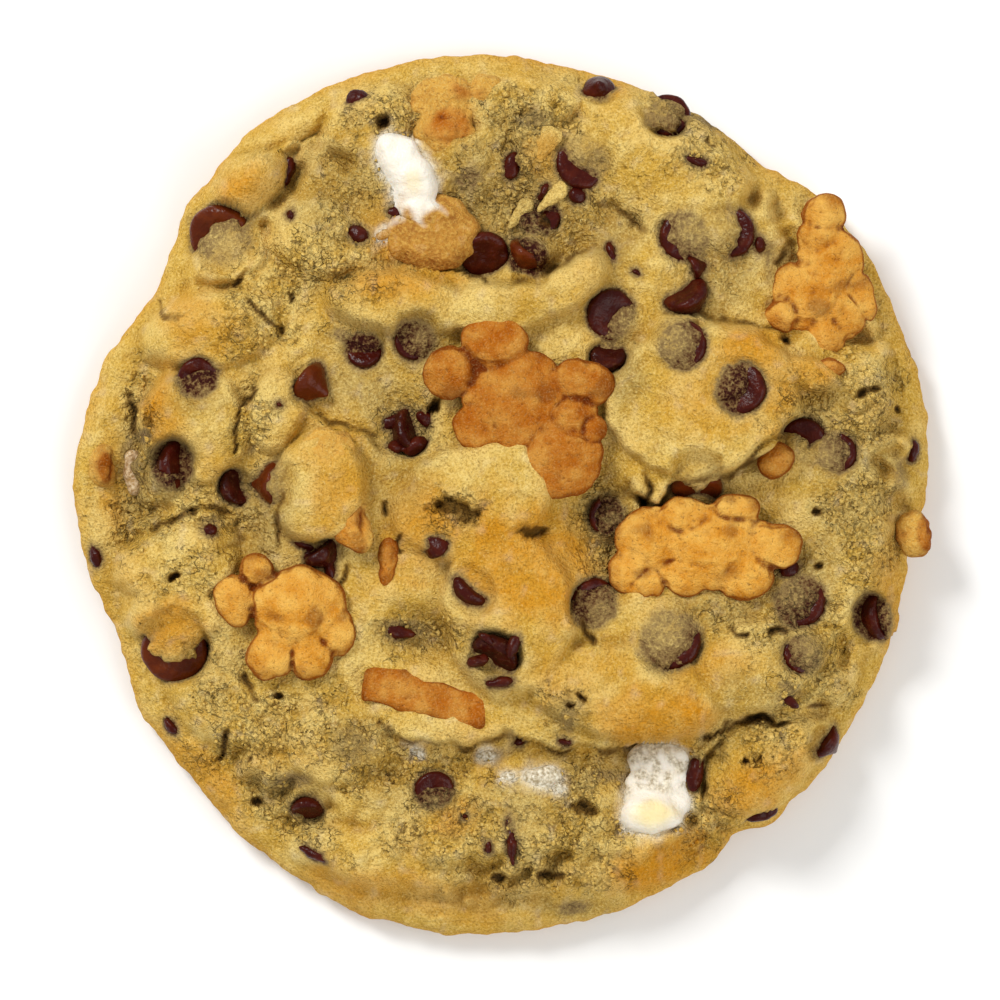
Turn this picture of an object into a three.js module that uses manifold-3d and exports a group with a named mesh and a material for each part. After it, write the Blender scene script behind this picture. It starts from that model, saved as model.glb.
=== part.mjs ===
// A large soft-baked s'mores cookie, seen from above as +Z, resting on its flat underside.
// Millimetres; the origin is the middle of the underside. The dough is one craggy solid with a
// pocket for each thing baked into it: bear-shaped graham biscuits, marshmallows and chocolate chips.
import * as THREE from "three";
import { RoundedBoxGeometry } from "three/addons/geometries/RoundedBoxGeometry.js";
import { mergeVertices } from "three/addons/utils/BufferGeometryUtils.js";
import Module from "manifold-3d";

const wasm = await Module();
wasm.setup();

// Driving dimensions of the dough.
const COOKIE_RADIUS = 49.8; // before the swells of the outline
const WIDEST_AT = 2.4; // height of the outline's widest level above the tray
const UNDERCUT = 1.8; // how far the flat underside stays inside the outline
const RIM_ROUND = 4.6; // width of the band that rounds over to the top
const SKIRT_HEIGHT = 6.2; // the thin dough that ran out round the body
const CREASE = 0.45; // softness of the crease where two swells of dough meet

// Driving dimensions of what is baked in.
const POCKET_GAP = 0.3; // clearance between a piece and its pocket
const CHIP_SIDES = 7;
const BEAR_SIDES = 25; // steps round the outline of a piece with several lobes
const ROUND_SIDES = 9; // and of a piece that is one plain oval
const BISCUIT_HALF_THICKNESS = 2.5;
const SEAT_STEPS = 8; // places round a piece at which the height of its seat is read
const ABOVE_ALL = 100;
const SLAB = { length: 15.4, width: 4.4, depth: 6, round: 1.1 }; // a biscuit standing on its edge

const MATERIALS = {
  dough: new THREE.MeshStandardMaterial({ color: 0xd2b271, roughness: 0.85, metalness: 0 }),
  chocolate: new THREE.MeshStandardMaterial({ color: 0x3f1d12, roughness: 0.32, metalness: 0 }),
  biscuit: new THREE.MeshStandardMaterial({ color: 0xd08a37, roughness: 0.7, metalness: 0 }),
  marshmallow: new THREE.MeshStandardMaterial({ color: 0xf4efe2, roughness: 0.5, metalness: 0 }),
  toasted: new THREE.MeshStandardMaterial({ color: 0xd6a055, roughness: 0.45, metalness: 0 }),
};

// Where the outline swells past the plain circle or falls short of it: degrees, spread, millimetres.
const OUTLINE_SWELLS = [
  { at: 8, spread: 9, out: 1.1 },
  { at: 24, spread: 9, out: 0.6 },
  { at: 38, spread: 9, out: 1.7 },
  { at: 52, spread: 3, out: -0.8 },
  { at: 108, spread: 24, out: 2.6 },
  { at: 122, spread: 6, out: 0.5 },
  { at: 149, spread: 7, out: -2.6 },
  { at: 178, spread: 6, out: 1.1 },
  { at: 200, spread: 4.5, out: -1.4 },
  { at: 221, spread: 5, out: -0.6 },
  { at: 258, spread: 19, out: 2.4 },
  { at: 304.5, spread: 1.8, out: -1.7 },
  { at: 345, spread: 14, out: -1.1 },
  { at: 352, spread: 3, out: -0.7 },
];

// The swells of dough, each an oval dome: middle, half axes, turn in degrees, height of its top,
// fall from its middle to its edge (crown), and width of the wall at its edge.
const SWELLS = {
  body: { at: [1.6, 0.4], half: [46, 47.6], turn: 0, top: 14.4, crown: 4.2, wall: 4.5 },
  rightPlateau: { at: [23.4, 11], half: [12.2, 9.6], turn: 8, top: 17.8, crown: 1.6, wall: 1.4 },
  rightTongue: { at: [35.4, 14.2], half: [4.6, 2.4], turn: -12, top: 15.8, crown: 1, wall: 1 },
  middleMound: { at: [-3.4, -0.6], half: [11.4, 8], turn: 20, top: 17.8, crown: 1.8, wall: 2 },
  lowerMound: { at: [0.6, -13.6], half: [9.4, 11.6], turn: 8, top: 18.2, crown: 2.4, wall: 2.4 },
  lowerRidge: { at: [13.6, -22.8], half: [13.4, 6.6], turn: -10, top: 17, crown: 2.2, wall: 1.6 },
  ridgeEnd: { at: [29.5, -20], half: [9, 6.4], turn: 20, top: 15.3, crown: 2, wall: 2 },
  cornerPlate: { at: [30, -31.6], half: [7.8, 5.8], turn: 25, top: 13.2, crown: 1.6, wall: 1 },
  foldLeft: { at: [-12, 22.4], half: [10, 4.2], turn: -5, top: 17.2, crown: 1.6, wall: 1.2 },
  foldMiddle: { at: [-0.5, 21.8], half: [8, 3.8], turn: 4, top: 17, crown: 1.4, wall: 1.2 },
  foldRight: { at: [8, 24.6], half: [6.6, 3.2], turn: 38, top: 16.8, crown: 1.2, wall: 1.2 },
  topPlate: { at: [18.6, 39.4], half: [11.8, 7.8], turn: -32, top: 13.8, crown: 2.2, wall: 1.2 },
  topMiddle: { at: [2, 45.6], half: [9, 4.6], turn: 0, top: 11.6, crown: 1.8, wall: 2 },
  topLeft: { at: [-15.5, 43.6], half: [7, 4.6], turn: 20, top: 11.8, crown: 2, wall: 1.6 },
  ledge: { at: [-25, 43.4], half: [9, 2.8], turn: 32, top: 8.6, crown: 1.4, wall: 1.4 },
  leftKnoll: { at: [-30, 36.6], half: [5.6, 3.9], turn: 35, top: 12.8, crown: 2, wall: 1.4 },
  leftBrow: { at: [-31.5, 28], half: [6, 3.6], turn: 25, top: 13.2, crown: 1.8, wall: 1.6 },
  leftShoulder: { at: [-33.4, 19.4], half: [9.6, 5.4], turn: 12, top: 14.4, crown: 2.2, wall: 1.8 },
  innerShoulder: { at: [-21, 30], half: [8, 6], turn: -10, top: 14.2, crown: 1.6, wall: 2.4 },
  leftPlate: { at: [-36, 8], half: [7.2, 7.4], turn: 0, top: 14.8, crown: 1.8, wall: 1.4 },
  innerPlate: { at: [-26.6, 10], half: [4.2, 6.4], turn: -8, top: 15.4, crown: 1.4, wall: 1.6 },
  leftMound: { at: [-21.3, 0.8], half: [6.2, 7.8], turn: -12, top: 18.2, crown: 1.8, wall: 1.6 },
  lowerPlate: { at: [-37.4, -8], half: [8.6, 5.2], turn: 12, top: 14, crown: 1.8, wall: 1.4 },
  lowerKnoll: { at: [-38.4, -14], half: [7, 4.2], turn: -4, top: 13.6, crown: 2.4, wall: 1.4 },
  lowerLeft: { at: [-33, -24], half: [9, 5.4], turn: -42, top: 11.6, crown: 2, wall: 2.4 },
  roundMound: { at: [-19, -29], half: [8.6, 6.4], turn: 0, top: 14.4, crown: 2.8, wall: 2.2 },
  bottomBand: { at: [-14, -42.4], half: [13, 4.6], turn: -10, top: 10.6, crown: 1.8, wall: 2.2 },
  bottomMiddle: { at: [1.6, -38.6], half: [8.6, 5.6], turn: 0, top: 12, crown: 1.6, wall: 2 },
  bottomRight: { at: [13, -43.6], half: [10, 4], turn: 16, top: 10.2, crown: 1.8, wall: 1.8 },
  rightBank: { at: [41, -4], half: [5.6, 14], turn: 4, top: 12.6, crown: 2.4, wall: 2.4 },
  rightBrow: { at: [41, 12], half: [5.2, 7], turn: 10, top: 12.8, crown: 2, wall: 2 },
};

// Hollows between the swells: middle, half axes, turn and depth.
const HOLLOWS = [
  { at: [2, 31.6], half: [10.5, 5], turn: 4, depth: 2.4 },
  { at: [18, -33], half: [6.4, 5.4], turn: 0, depth: 3.2 },
  { at: [11.6, -4], half: [3.4, 8], turn: 6, depth: 2.8 },
  { at: [-3, -31], half: [15, 2.6], turn: 2, depth: 1.6 },
  { at: [-43.5, 1], half: [4.4, 3.4], turn: 0, depth: 1.8 },
  { at: [-16, 13.4], half: [6, 3.8], turn: -10, depth: 1.8 },
  { at: [-11.5, 8], half: [3.6, 3.4], turn: 0, depth: 2.4 },
  { at: [-30, -3.4], half: [3.4, 5.6], turn: 0, depth: 2.6 },
  { at: [24, -5.8], half: [10.4, 6], turn: -6, depth: 2.4 },
  { at: [-9, -16.4], half: [5.6, 3], turn: -12, depth: 2.4 },
  { at: [37.5, 24.5], half: [6, 8], turn: 12, depth: 1.6 },
];

// Long waves over the whole top: height, length and bearing of the first, and how each next one shrinks.
const WAVES = { count: 7, height: 0.24, length: 19, shrink: 0.84, bearing: 137.5 };

// Graham biscuits in the shape of a bear, each given as the rounded lobes that show: middle, half
// axes, turn. stand is how far its middle lies above the dough, slope how it leans along X and Y.
const BEARS = {
  biscuit_centre: {
    stand: 0.9,
    slope: [0.03, 0.02],
    lobes: [
      { at: [1.2, 11.4], half: [6.2, 6.4] },
      { at: [-1, 18], half: [4, 3.3] },
      { at: [-6.3, 14.6], half: [3.4, 3], turn: 30 },
      { at: [9.3, 13.2], half: [3.7, 2.6], turn: -10 },
      { at: [-3, 7.6], half: [3, 2.6] },
      { at: [7.2, 4.3], half: [4.7, 4.7] },
      { at: [10.2, 8], half: [1.7, 1.7] },
    ],
  },
  biscuit_right: {
    stand: 0.8,
    slope: [0.02, 0.06],
    lobes: [
      { at: [24.2, -5.9], half: [6.3, 5.3], turn: -8 },
      { at: [17.6, -5.3], half: [4.7, 4.4] },
      { at: [14.6, -8.2], half: [2, 1.9] },
      { at: [16.2, -10.6], half: [2.6, 2.1] },
      { at: [27, -1], half: [1.9, 1.9] },
      { at: [31.6, -5.6], half: [3.4, 2.6], turn: -15 },
      { at: [28.4, -10], half: [3.2, 2.6], turn: 15 },
    ],
  },
  biscuit_left: {
    stand: 0.8,
    slope: [0.04, 0],
    lobes: [
      { at: [-23.8, -13.2], half: [5.6, 5.8] },
      { at: [-28.9, -8.4], half: [2.4, 2.1] },
      { at: [-31.5, -12], half: [2.6, 3.2], turn: 20 },
      { at: [-27, -18.6], half: [3.1, 3.2] },
      { at: [-22, -18.5], half: [3, 2.9] },
      { at: [-19.9, -15.6], half: [2.5, 3.2] },
    ],
  },
  biscuit_upper_right: {
    stand: 0.9,
    slope: [-0.16, -0.04],
    lobes: [
      { at: [38.4, 28], half: [3.8, 4.6], turn: 15 },
      { at: [37.8, 32.8], half: [2.9, 2.9] },
      { at: [36.2, 23.2], half: [4.9, 4.3] },
      { at: [32.9, 21.4], half: [2.2, 2.3] },
      { at: [37.7, 19.3], half: [3, 2.5] },
      { at: [42, 23.6], half: [2.1, 3.1], turn: 15 },
    ],
  },
  biscuit_top: {
    stand: -0.7,
    slope: [0, -0.12],
    lobes: [
      { at: [-6.5, 46], half: [4.8, 3.8] },
      { at: [-6.6, 42.6], half: [4, 3.6] },
      { at: [-2.2, 47], half: [2.6, 2.4] },
    ],
  },
  biscuit_mound: {
    stand: -0.9,
    slope: [0, 0],
    lobes: [
      { at: [-17.6, -3.2], half: [2.2, 3.7], turn: 12 },
      { at: [-19.4, 0.9], half: [2.8, 3] },
      { at: [-20.5, 4.6], half: [3.2, 3.2] },
    ],
  },
  biscuit_bit_right: { stand: -0.4, slope: [0, 0], lobes: [{ at: [31.8, 4], half: [2.5, 2.4] }] },
  biscuit_bit_upper: { stand: -0.7, slope: [0, 0], lobes: [{ at: [38, 15], half: [1.9, 1.3] }] },
  biscuit_bit_inner: { stand: -1, slope: [0, 0], lobes: [{ at: [-13.4, -8.2], half: [1.3, 3.1] }] },
  biscuit_bit_edge: { stand: 2.6, slope: [0, 0], lobes: [{ at: [48.4, -4.3], half: [2, 2.8], turn: 15 }] },
  biscuit_bit_tab: { stand: -0.6, slope: [0, 0], lobes: [{ at: [-47, 3.5], half: [1.5, 2.7] }] },
};

// The biscuit that stands on its edge: middle, turn, how far its top edge clears the dough.
const SLAB_BISCUIT = { at: [-9.2, -23.5], turn: -14, stand: 1.3 };

// Marshmallows, softened and run together, as lobes like the biscuits' but taller.
const MARSHMALLOWS = {
  marshmallow_upper: {
    stand: -0.3,
    tall: 2.9,
    lobes: [
      { at: [-12.7, 40.1], half: [3, 2.7] },
      { at: [-11.5, 37.4], half: [2.9, 3] },
      { at: [-10.7, 34.9], half: [2.4, 2] },
    ],
  },
  marshmallow_toasted: {
    stand: -0.5,
    tall: 3.1,
    lobes: [
      { at: [-9.2, 29.8], half: [5.2, 3.3], turn: -10 },
      { at: [-7.8, 32.2], half: [3, 2.4] },
    ],
  },
  marshmallow_lower: {
    stand: 0.1,
    tall: 3,
    lobes: [
      { at: [17, -31.8], half: [3.1, 2.5] },
      { at: [17.4, -34.6], half: [2.6, 2.4] },
      { at: [17.6, -37.4], half: [3.8, 2.9] },
    ],
  },
  marshmallow_pool_right: { stand: -1, tall: 1.3, lobes: [{ at: [4.6, -33.2], half: [2.4, 1.3] }] },
  marshmallow_pool_tab: { stand: -1, tall: 1.4, lobes: [{ at: [-43.2, 2.4], half: [1.6, 3], turn: 10 }] },
};

// Chocolate chips that show most: middle, radius of the base, lean of the tip from straight up and
// its bearing, both in degrees, and how far the highest point clears the dough. A lean near 180 puts
// the flat base on top, with the side under the tip's bearing raised.
const CHIPS = [
  { at: [9.2, 39], radius: 3.2, lean: 166, bearing: 225, clear: 1.8 },
  { at: [-2.4, 28.3], radius: 2.9, lean: 150, bearing: 110, clear: 1.6 },
  { at: [3.2, 28.1], radius: 2.6, lean: 110, bearing: 250, clear: 1.2 },
  { at: [4.2, 32.6], radius: 2.5, lean: 150, bearing: 270, clear: 1.9 },
  { at: [11.2, 47.6], radius: 1.9, lean: 25, bearing: 90, clear: 1.6 },
  { at: [12.6, 21.1], radius: 3, lean: 164, bearing: 175, clear: 2.5 },
  { at: [12.2, 16.2], radius: 2.2, lean: 140, bearing: 270, clear: 0.9 },
  { at: [-10.3, 18.2], radius: 2.5, lean: 165, bearing: 225, clear: 0.7 },
  { at: [19.3, 44.6], radius: 2.7, lean: 160, bearing: 270, clear: 1.6 },
  { at: [21.2, 30.3], radius: 3, lean: 172, bearing: 190, clear: 2.3 },
  { at: [22.6, 26.7], radius: 1.5, lean: 100, bearing: 20, clear: 1 },
  { at: [21.3, 23.4], radius: 2.8, lean: 125, bearing: 300, clear: 2.2 },
  { at: [26.6, 30.8], radius: 3, lean: 160, bearing: 0, clear: 1.9 },
  { at: [20.8, 17.4], radius: 3, lean: 165, bearing: -15, clear: 3.4 },
  { at: [27.6, 12.5], radius: 3.1, lean: 160, bearing: -15, clear: 1.7 },
  { at: [35.2, 6.4], radius: 2.9, lean: 158, bearing: 60, clear: 1 },
  { at: [38.8, 5], radius: 2.5, lean: 160, bearing: 0, clear: 1.6 },
  { at: [22.6, 1.6], radius: 3.1, lean: 120, bearing: 90, clear: 0.5 },
  { at: [34.6, -12.4], radius: 3.2, lean: 165, bearing: -35, clear: 1.9 },
  { at: [43.4, -14.2], radius: 2.9, lean: 112, bearing: 190, clear: 0.9 },
  { at: [34.8, -18.6], radius: 2.3, lean: 165, bearing: 200, clear: 1.6 },
  { at: [19.5, -17], radius: 3.7, lean: 166, bearing: -45, clear: 2.8 },
  { at: [10.6, -12.6], radius: 3, lean: 160, bearing: 150, clear: 0.9 },
  { at: [12.2, -2.4], radius: 2.3, lean: 160, bearing: 180, clear: 1.8 },
  { at: [-1, -18.6], radius: 2.9, lean: 130, bearing: 60, clear: 1 },
  { at: [-3.6, -10.7], radius: 3.1, lean: 118, bearing: 230, clear: 0.5 },
  { at: [-7.7, -6], radius: 1.6, lean: 60, bearing: 135, clear: 0.3 },
  { at: [-11.2, 7.6], radius: 2.7, lean: 120, bearing: 200, clear: 1.2 },
  { at: [-22.6, 13.3], radius: 2.6, lean: 78, bearing: -35, clear: 1.7 },
  { at: [-16.4, 17], radius: 2.3, lean: 150, bearing: 280, clear: 0.6 },
  { at: [-35.7, 13.8], radius: 2.5, lean: 160, bearing: 110, clear: 0.6 },
  { at: [-38.8, 3.6], radius: 3, lean: 122, bearing: 180, clear: 0.6 },
  { at: [-31.4, 1], radius: 2.2, lean: 140, bearing: 200, clear: 0.9 },
  { at: [-27.3, 1.4], radius: 2.8, lean: 112, bearing: 180, clear: 0.5 },
  { at: [-21.4, -6.6], radius: 2.3, lean: 100, bearing: -50, clear: 0.8 },
  { at: [-38.7, -18.2], radius: 3.9, lean: 158, bearing: 90, clear: 1.6 },
  { at: [-33.2, 30.6], radius: 3.9, lean: 152, bearing: 60, clear: 1.2 },
  { at: [-23.1, -36.5], radius: 1.9, lean: 120, bearing: 90, clear: 0.9 },
  { at: [-8.2, -34.6], radius: 2.4, lean: 160, bearing: 110, clear: 1.5 },
  { at: [37.6, -28.9], radius: 2.3, lean: 120, bearing: -40, clear: 0.9 },
];

// Half outline of a chip of radius 1 from the middle of its base to its tip, as radius and height.
const CHIP_PROFILE = [[0, 0], [0.94, 0.02], [1, 0.28], [0.42, 1.08], [0, 1.42]];

// Small bits of chip fused to the dough: middle, half axes, turn.
const CHIP_BITS = [
  { at: [-17.2, 46.4], half: [1.9, 1.2], turn: 0 },
  { at: [-25.3, 38], half: [1, 2.1], turn: -12 },
  { at: [-17, 30.6], half: [1.3, 1.1], turn: -20 },
  { at: [22.4, 39.1], half: [2, 0.9], turn: -15 },
  { at: [12.7, 28.2], half: [0.9, 1.5], turn: 15 },
  { at: [-47.4, -7.4], half: [1, 1.7], turn: 10 },
  { at: [33.4, -23.8], half: [2.2, 0.9], turn: -35 },
  { at: [0.9, -40.2], half: [0.9, 3.4], turn: 4 },
  { at: [-21.8, -42], half: [2.6, 1], turn: -22 },
  { at: [22.6, -32.8], half: [1.3, 2.4], turn: 0 },
  { at: [48.2, 5.2], half: [0.9, 1.5], turn: -12 },
];
const BIT_TALL = 1.1;

const radians = THREE.MathUtils.degToRad;
const smooth = (t) => THREE.MathUtils.smoothstep(t, 0, 1);

// Distance of a point from the middle of an oval, 1 on its edge.
function ovalDistance({ at, half, turn = 0 }, x, y) {
  const c = Math.cos(radians(turn));
  const s = Math.sin(radians(turn));
  const along = (c * (x - at[0]) + s * (y - at[1])) / half[0];
  const across = (c * (y - at[1]) - s * (x - at[0])) / half[1];
  return Math.hypot(along, across);
}

// Radius of the outline's widest level at a bearing in radians.
function outlineRadius(bearing) {
  const degrees = THREE.MathUtils.radToDeg(bearing);
  return OUTLINE_SWELLS.reduce((radius, { at, spread, out }) => {
    const off = THREE.MathUtils.euclideanModulo(degrees - at + 180, 360) - 180;
    return radius + out * Math.exp(-0.5 * (off / spread) ** 2);
  }, COOKIE_RADIUS);
}

// Long low waves, as the sum of a few sines that each turn by the golden angle.
function waveHeight(x, y) {
  let height = 0;
  for (let i = 0; i < WAVES.count; i++) {
    const bearing = radians(WAVES.bearing * i);
    const pitch = (2 * Math.PI) / (WAVES.length * WAVES.shrink ** i);
    height += WAVES.height * WAVES.shrink ** i * Math.sin(pitch * (x * Math.cos(bearing) + y * Math.sin(bearing)) + i);
  }
  return height;
}

// Height of one swell's surface, which dives below the skirt outside its edge.
function swellHeight(swell, x, y) {
  const distance = ovalDistance(swell, x, y);
  const reach = (distance - 1) * Math.min(...swell.half);
  const dive = smooth(0.5 + reach / (2 * swell.wall)) * (swell.top - SKIRT_HEIGHT + 2);
  return swell.top - swell.crown * Math.min(distance, 1.2) ** 2 - dive;
}

// Height of the dough's top before the rim rounds it off: the swells pressed together, less the hollows.
function topHeight(x, y) {
  const heights = Object.values(SWELLS).map((swell) => swellHeight(swell, x, y));
  const highest = Math.max(SKIRT_HEIGHT, ...heights);
  const pressed = heights.reduce((sum, h) => sum + Math.exp((h - highest) / CREASE), Math.exp((SKIRT_HEIGHT - highest) / CREASE));
  const sunk = HOLLOWS.reduce((sum, hollow) => sum + hollow.depth * smooth(1.25 - 0.8 * ovalDistance(hollow, x, y)), 0);
  const floor = SKIRT_HEIGHT - 1;
  return Math.max(floor, highest + CREASE * Math.log(pressed) - sunk) + waveHeight(x, y);
}

// Height of the dough's surface, with the rim rounded down to the outline.
function doughHeight(x, y) {
  const inward = outlineRadius(Math.atan2(y, x)) - Math.hypot(x, y);
  const share = THREE.MathUtils.clamp(inward / RIM_ROUND, 0, 1);
  return WIDEST_AT + (topHeight(x, y) - WIDEST_AT) * Math.sqrt(1 - (1 - share) ** 2);
}

// Shares of the ball's surface that become the top, the rounded underside of the rim and the flat.
const BALL_DETAIL = 12;
const TOP_SHARE = 0.7;
const UNDER_SHARE = 0.06;
const RIM_STEP = 0.84; // share of the top's steps spent inside the rounded band

// The dough before its pockets are cut: an even ball of triangles, mapped onto top, rim and flat.
function doughGeometry() {
  const ball = mergeVertices(new THREE.IcosahedronGeometry(1, BALL_DETAIL).deleteAttribute("normal").deleteAttribute("uv"));
  const place = ball.getAttribute("position");
  for (let i = 0; i < place.count; i++) {
    const share = (1 - place.getZ(i)) / 2;
    const bearing = Math.atan2(place.getY(i), place.getX(i));
    const outline = outlineRadius(bearing);
    let radius;
    let height;
    if (share < TOP_SHARE) {
      const step = Math.sqrt(share / TOP_SHARE);
      const turn = THREE.MathUtils.clamp((step - RIM_STEP) / (1 - RIM_STEP), 0, 1);
      const inner = outline - RIM_ROUND;
      radius = step < RIM_STEP ? (inner * step) / RIM_STEP : inner + RIM_ROUND * Math.sin((turn * Math.PI) / 2);
      height = doughHeight(radius * Math.cos(bearing), radius * Math.sin(bearing));
    } else if (share < TOP_SHARE + UNDER_SHARE) {
      const turn = ((share - TOP_SHARE) / UNDER_SHARE) * (Math.PI / 2);
      radius = outline - UNDERCUT * (1 - Math.cos(turn));
      height = WIDEST_AT * (1 - Math.sin(turn));
    } else {
      radius = (outline - UNDERCUT) * Math.sqrt((1 - share) / (1 - TOP_SHARE - UNDER_SHARE));
      height = 0;
    }
    place.setXYZ(i, radius * Math.cos(bearing), radius * Math.sin(bearing), height);
  }
  return ball;
}

const whole = new THREE.Mesh(doughGeometry());
const downward = new THREE.Raycaster(new THREE.Vector3(), new THREE.Vector3(0, 0, -1));

// Height of the faceted dough at a place, before its pockets are cut.
function surfaceHeight(x, y) {
  downward.ray.origin.set(x, y, ABOVE_ALL);
  const hit = downward.intersectObject(whole)[0];
  return hit ? hit.point.z : WIDEST_AT;
}

// Mean height of the dough at a place and on a ring round it, on which a piece of that reach sits.
function seatHeight(x, y, reach) {
  const ring = Array.from({ length: SEAT_STEPS }, (_, i) => (2 * Math.PI * i) / SEAT_STEPS);
  const round = ring.map((turn) => surfaceHeight(x + reach * Math.cos(turn), y + reach * Math.sin(turn)));
  return round.reduce((sum, height) => sum + height, surfaceHeight(x, y)) / (SEAT_STEPS + 1);
}

// A closed mesh as a solid that can be cut and joined.
function solidOf(geometry) {
  const bare = geometry.index ? geometry.toNonIndexed() : geometry.clone();
  bare.deleteAttribute("normal");
  bare.deleteAttribute("uv");
  const merged = mergeVertices(bare, 1e-4);
  return new wasm.Manifold(
    new wasm.Mesh({
      numProp: 3,
      vertProperties: new Float32Array(merged.getAttribute("position").array),
      triVerts: new Uint32Array(merged.index.array),
    }),
  );
}

// The largest body of a solid, without the scraps that a cut can leave.
function largestBody(solid) {
  return solid.decompose().reduce((best, body) => (body.volume() > best.volume() ? body : best));
}

// A solid as a named mesh.
function meshOf(name, solid, material) {
  const { vertProperties, triVerts } = solid.getMesh();
  const geometry = new THREE.BufferGeometry();
  geometry.setAttribute("position", new THREE.BufferAttribute(new Float32Array(vertProperties), 3));
  geometry.setIndex(new THREE.BufferAttribute(new Uint32Array(triVerts), 1));
  geometry.computeVertexNormals();
  const mesh = new THREE.Mesh(geometry, material);
  mesh.name = name;
  return mesh;
}

// Half section of a pillow of radius 1 and half height 1, from the middle of its top to its bottom.
const PILLOW_PROFILE = [[0, 1], [0.7, 0.88], [1, 0], [0.7, -0.88], [0, -1]];

// How far a ray from a point at a bearing runs until it leaves an oval for good, 0 if it misses.
function rayToOval([x, y], bearing, { at, half, turn = 0 }) {
  const c = Math.cos(radians(turn));
  const s = Math.sin(radians(turn));
  const intoOval = (dx, dy) => [(c * dx + s * dy) / half[0], (c * dy - s * dx) / half[1]];
  const [px, py] = intoOval(x - at[0], y - at[1]);
  const [dx, dy] = intoOval(Math.cos(bearing), Math.sin(bearing));
  const [dd, pd, pp] = [dx * dx + dy * dy, px * dx + py * dy, px * px + py * py];
  const root = pd * pd - dd * (pp - 1);
  return root < 0 ? 0 : Math.max(0, (Math.sqrt(root) - pd) / dd);
}

// A pillow whose outline runs round all the lobes, seen from the middle of the first one.
// level gives the height of its middle plane at a place.
function pillowSolid(lobes, halfHeight, level, grow = 0) {
  const [x0, y0] = lobes[0].at;
  const profile = PILLOW_PROFILE.map(([r, h]) => new THREE.Vector2(r, h)).reverse();
  const pillow = new THREE.LatheGeometry(profile, lobes.length > 1 ? BEAR_SIDES : ROUND_SIDES);
  pillow.rotateX(Math.PI / 2);
  const place = pillow.getAttribute("position");
  for (let i = 0; i < place.count; i++) {
    const bearing = Math.atan2(place.getY(i), place.getX(i));
    const reach = Math.max(...lobes.map((lobe) => rayToOval([x0, y0], bearing, lobe))) + grow;
    const radius = Math.hypot(place.getX(i), place.getY(i)) * reach;
    const x = x0 + radius * Math.cos(bearing);
    const y = y0 + radius * Math.sin(bearing);
    place.setXYZ(i, x, y, level(x, y) + place.getZ(i) * (halfHeight + grow));
  }
  return solidOf(pillow);
}

// Mean height of the dough under the middles of some lobes.
function meanHeight(lobes) {
  return lobes.reduce((sum, { at, half }) => sum + seatHeight(...at, half[0]), 0) / lobes.length;
}

function bearSolid({ stand, slope, lobes }, grow = 0) {
  const height = meanHeight(lobes) + stand;
  const [x0, y0] = lobes[0].at;
  const level = (x, y) => height + slope[0] * (x - x0) + slope[1] * (y - y0);
  return pillowSolid(lobes, BISCUIT_HALF_THICKNESS, level, grow);
}

function marshmallowSolid({ stand, tall, lobes }, grow = 0) {
  const height = meanHeight(lobes) + stand;
  return pillowSolid(lobes, tall, () => height, grow);
}

function slabSolid(grow = 0) {
  const { length, width, depth, round } = SLAB;
  const slab = new RoundedBoxGeometry(length + 2 * grow, width + 2 * grow, depth + 2 * grow, 1, round);
  slab.rotateZ(radians(SLAB_BISCUIT.turn));
  const [x, y] = SLAB_BISCUIT.at;
  slab.translate(x, y, seatHeight(x, y, width) + SLAB_BISCUIT.stand - depth / 2);
  return solidOf(slab);
}

// A chip turned to its lean and bearing, with its outline seen from above centred on its place.
function chipSolid({ at, radius, lean, bearing, clear }, grow = 0) {
  const profile = CHIP_PROFILE.map(([r, h]) => new THREE.Vector2(r * radius, h * radius));
  const chip = new THREE.LatheGeometry(profile, CHIP_SIDES);
  chip.rotateX(Math.PI / 2);
  chip.rotateY(radians(lean));
  chip.rotateZ(radians(bearing));
  chip.computeBoundingBox();
  const middle = chip.boundingBox.getCenter(new THREE.Vector3());
  chip.translate(-middle.x, -middle.y, -middle.z);
  const halfHeight = chip.boundingBox.max.z - middle.z;
  chip.scale(1 + grow / radius, 1 + grow / radius, 1 + grow / radius);
  chip.translate(at[0], at[1], seatHeight(...at, radius) + clear - halfHeight);
  return solidOf(chip);
}

function bitSolid({ at, half, turn }) {
  const bit = new THREE.SphereGeometry(1, 8, 5);
  bit.rotateX(Math.PI / 2);
  bit.scale(half[0], half[1], BIT_TALL);
  bit.rotateZ(radians(turn));
  bit.translate(at[0], at[1], seatHeight(...at, half[1]) - BIT_TALL / 4);
  return solidOf(bit);
}

// Everything baked in, as [name, material, maker of the solid grown by an amount].
const bakedIn = [
  ...Object.entries(BEARS).map(([name, bear]) => [name, MATERIALS.biscuit, (grow) => bearSolid(bear, grow)]),
  ["biscuit_on_edge", MATERIALS.biscuit, slabSolid],
  ...Object.entries(MARSHMALLOWS).map(([name, marshmallow]) => [
    name,
    name === "marshmallow_toasted" ? MATERIALS.toasted : MATERIALS.marshmallow,
    (grow) => marshmallowSolid(marshmallow, grow),
  ]),
  ...CHIPS.map((chip, i) => [
    `chip_${String(i + 1).padStart(2, "0")}`,
    MATERIALS.chocolate,
    (grow) => chipSolid(chip, grow),
  ]),
];

const cookie = new THREE.Group();
let dough = CHIP_BITS.reduce((joined, bit) => joined.add(bitSolid(bit)), solidOf(whole.geometry));
let taken = null; // the pockets of the pieces placed so far, which later pieces stay out of
for (const [name, material, make] of bakedIn) {
  const piece = taken ? largestBody(make(0).subtract(taken)) : make(0);
  const pocket = make(POCKET_GAP);
  cookie.add(meshOf(name, piece, material));
  dough = dough.subtract(pocket);
  taken = taken ? taken.add(pocket) : pocket;
}
cookie.add(meshOf("dough", largestBody(dough), MATERIALS.dough));

export default cookie;
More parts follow.
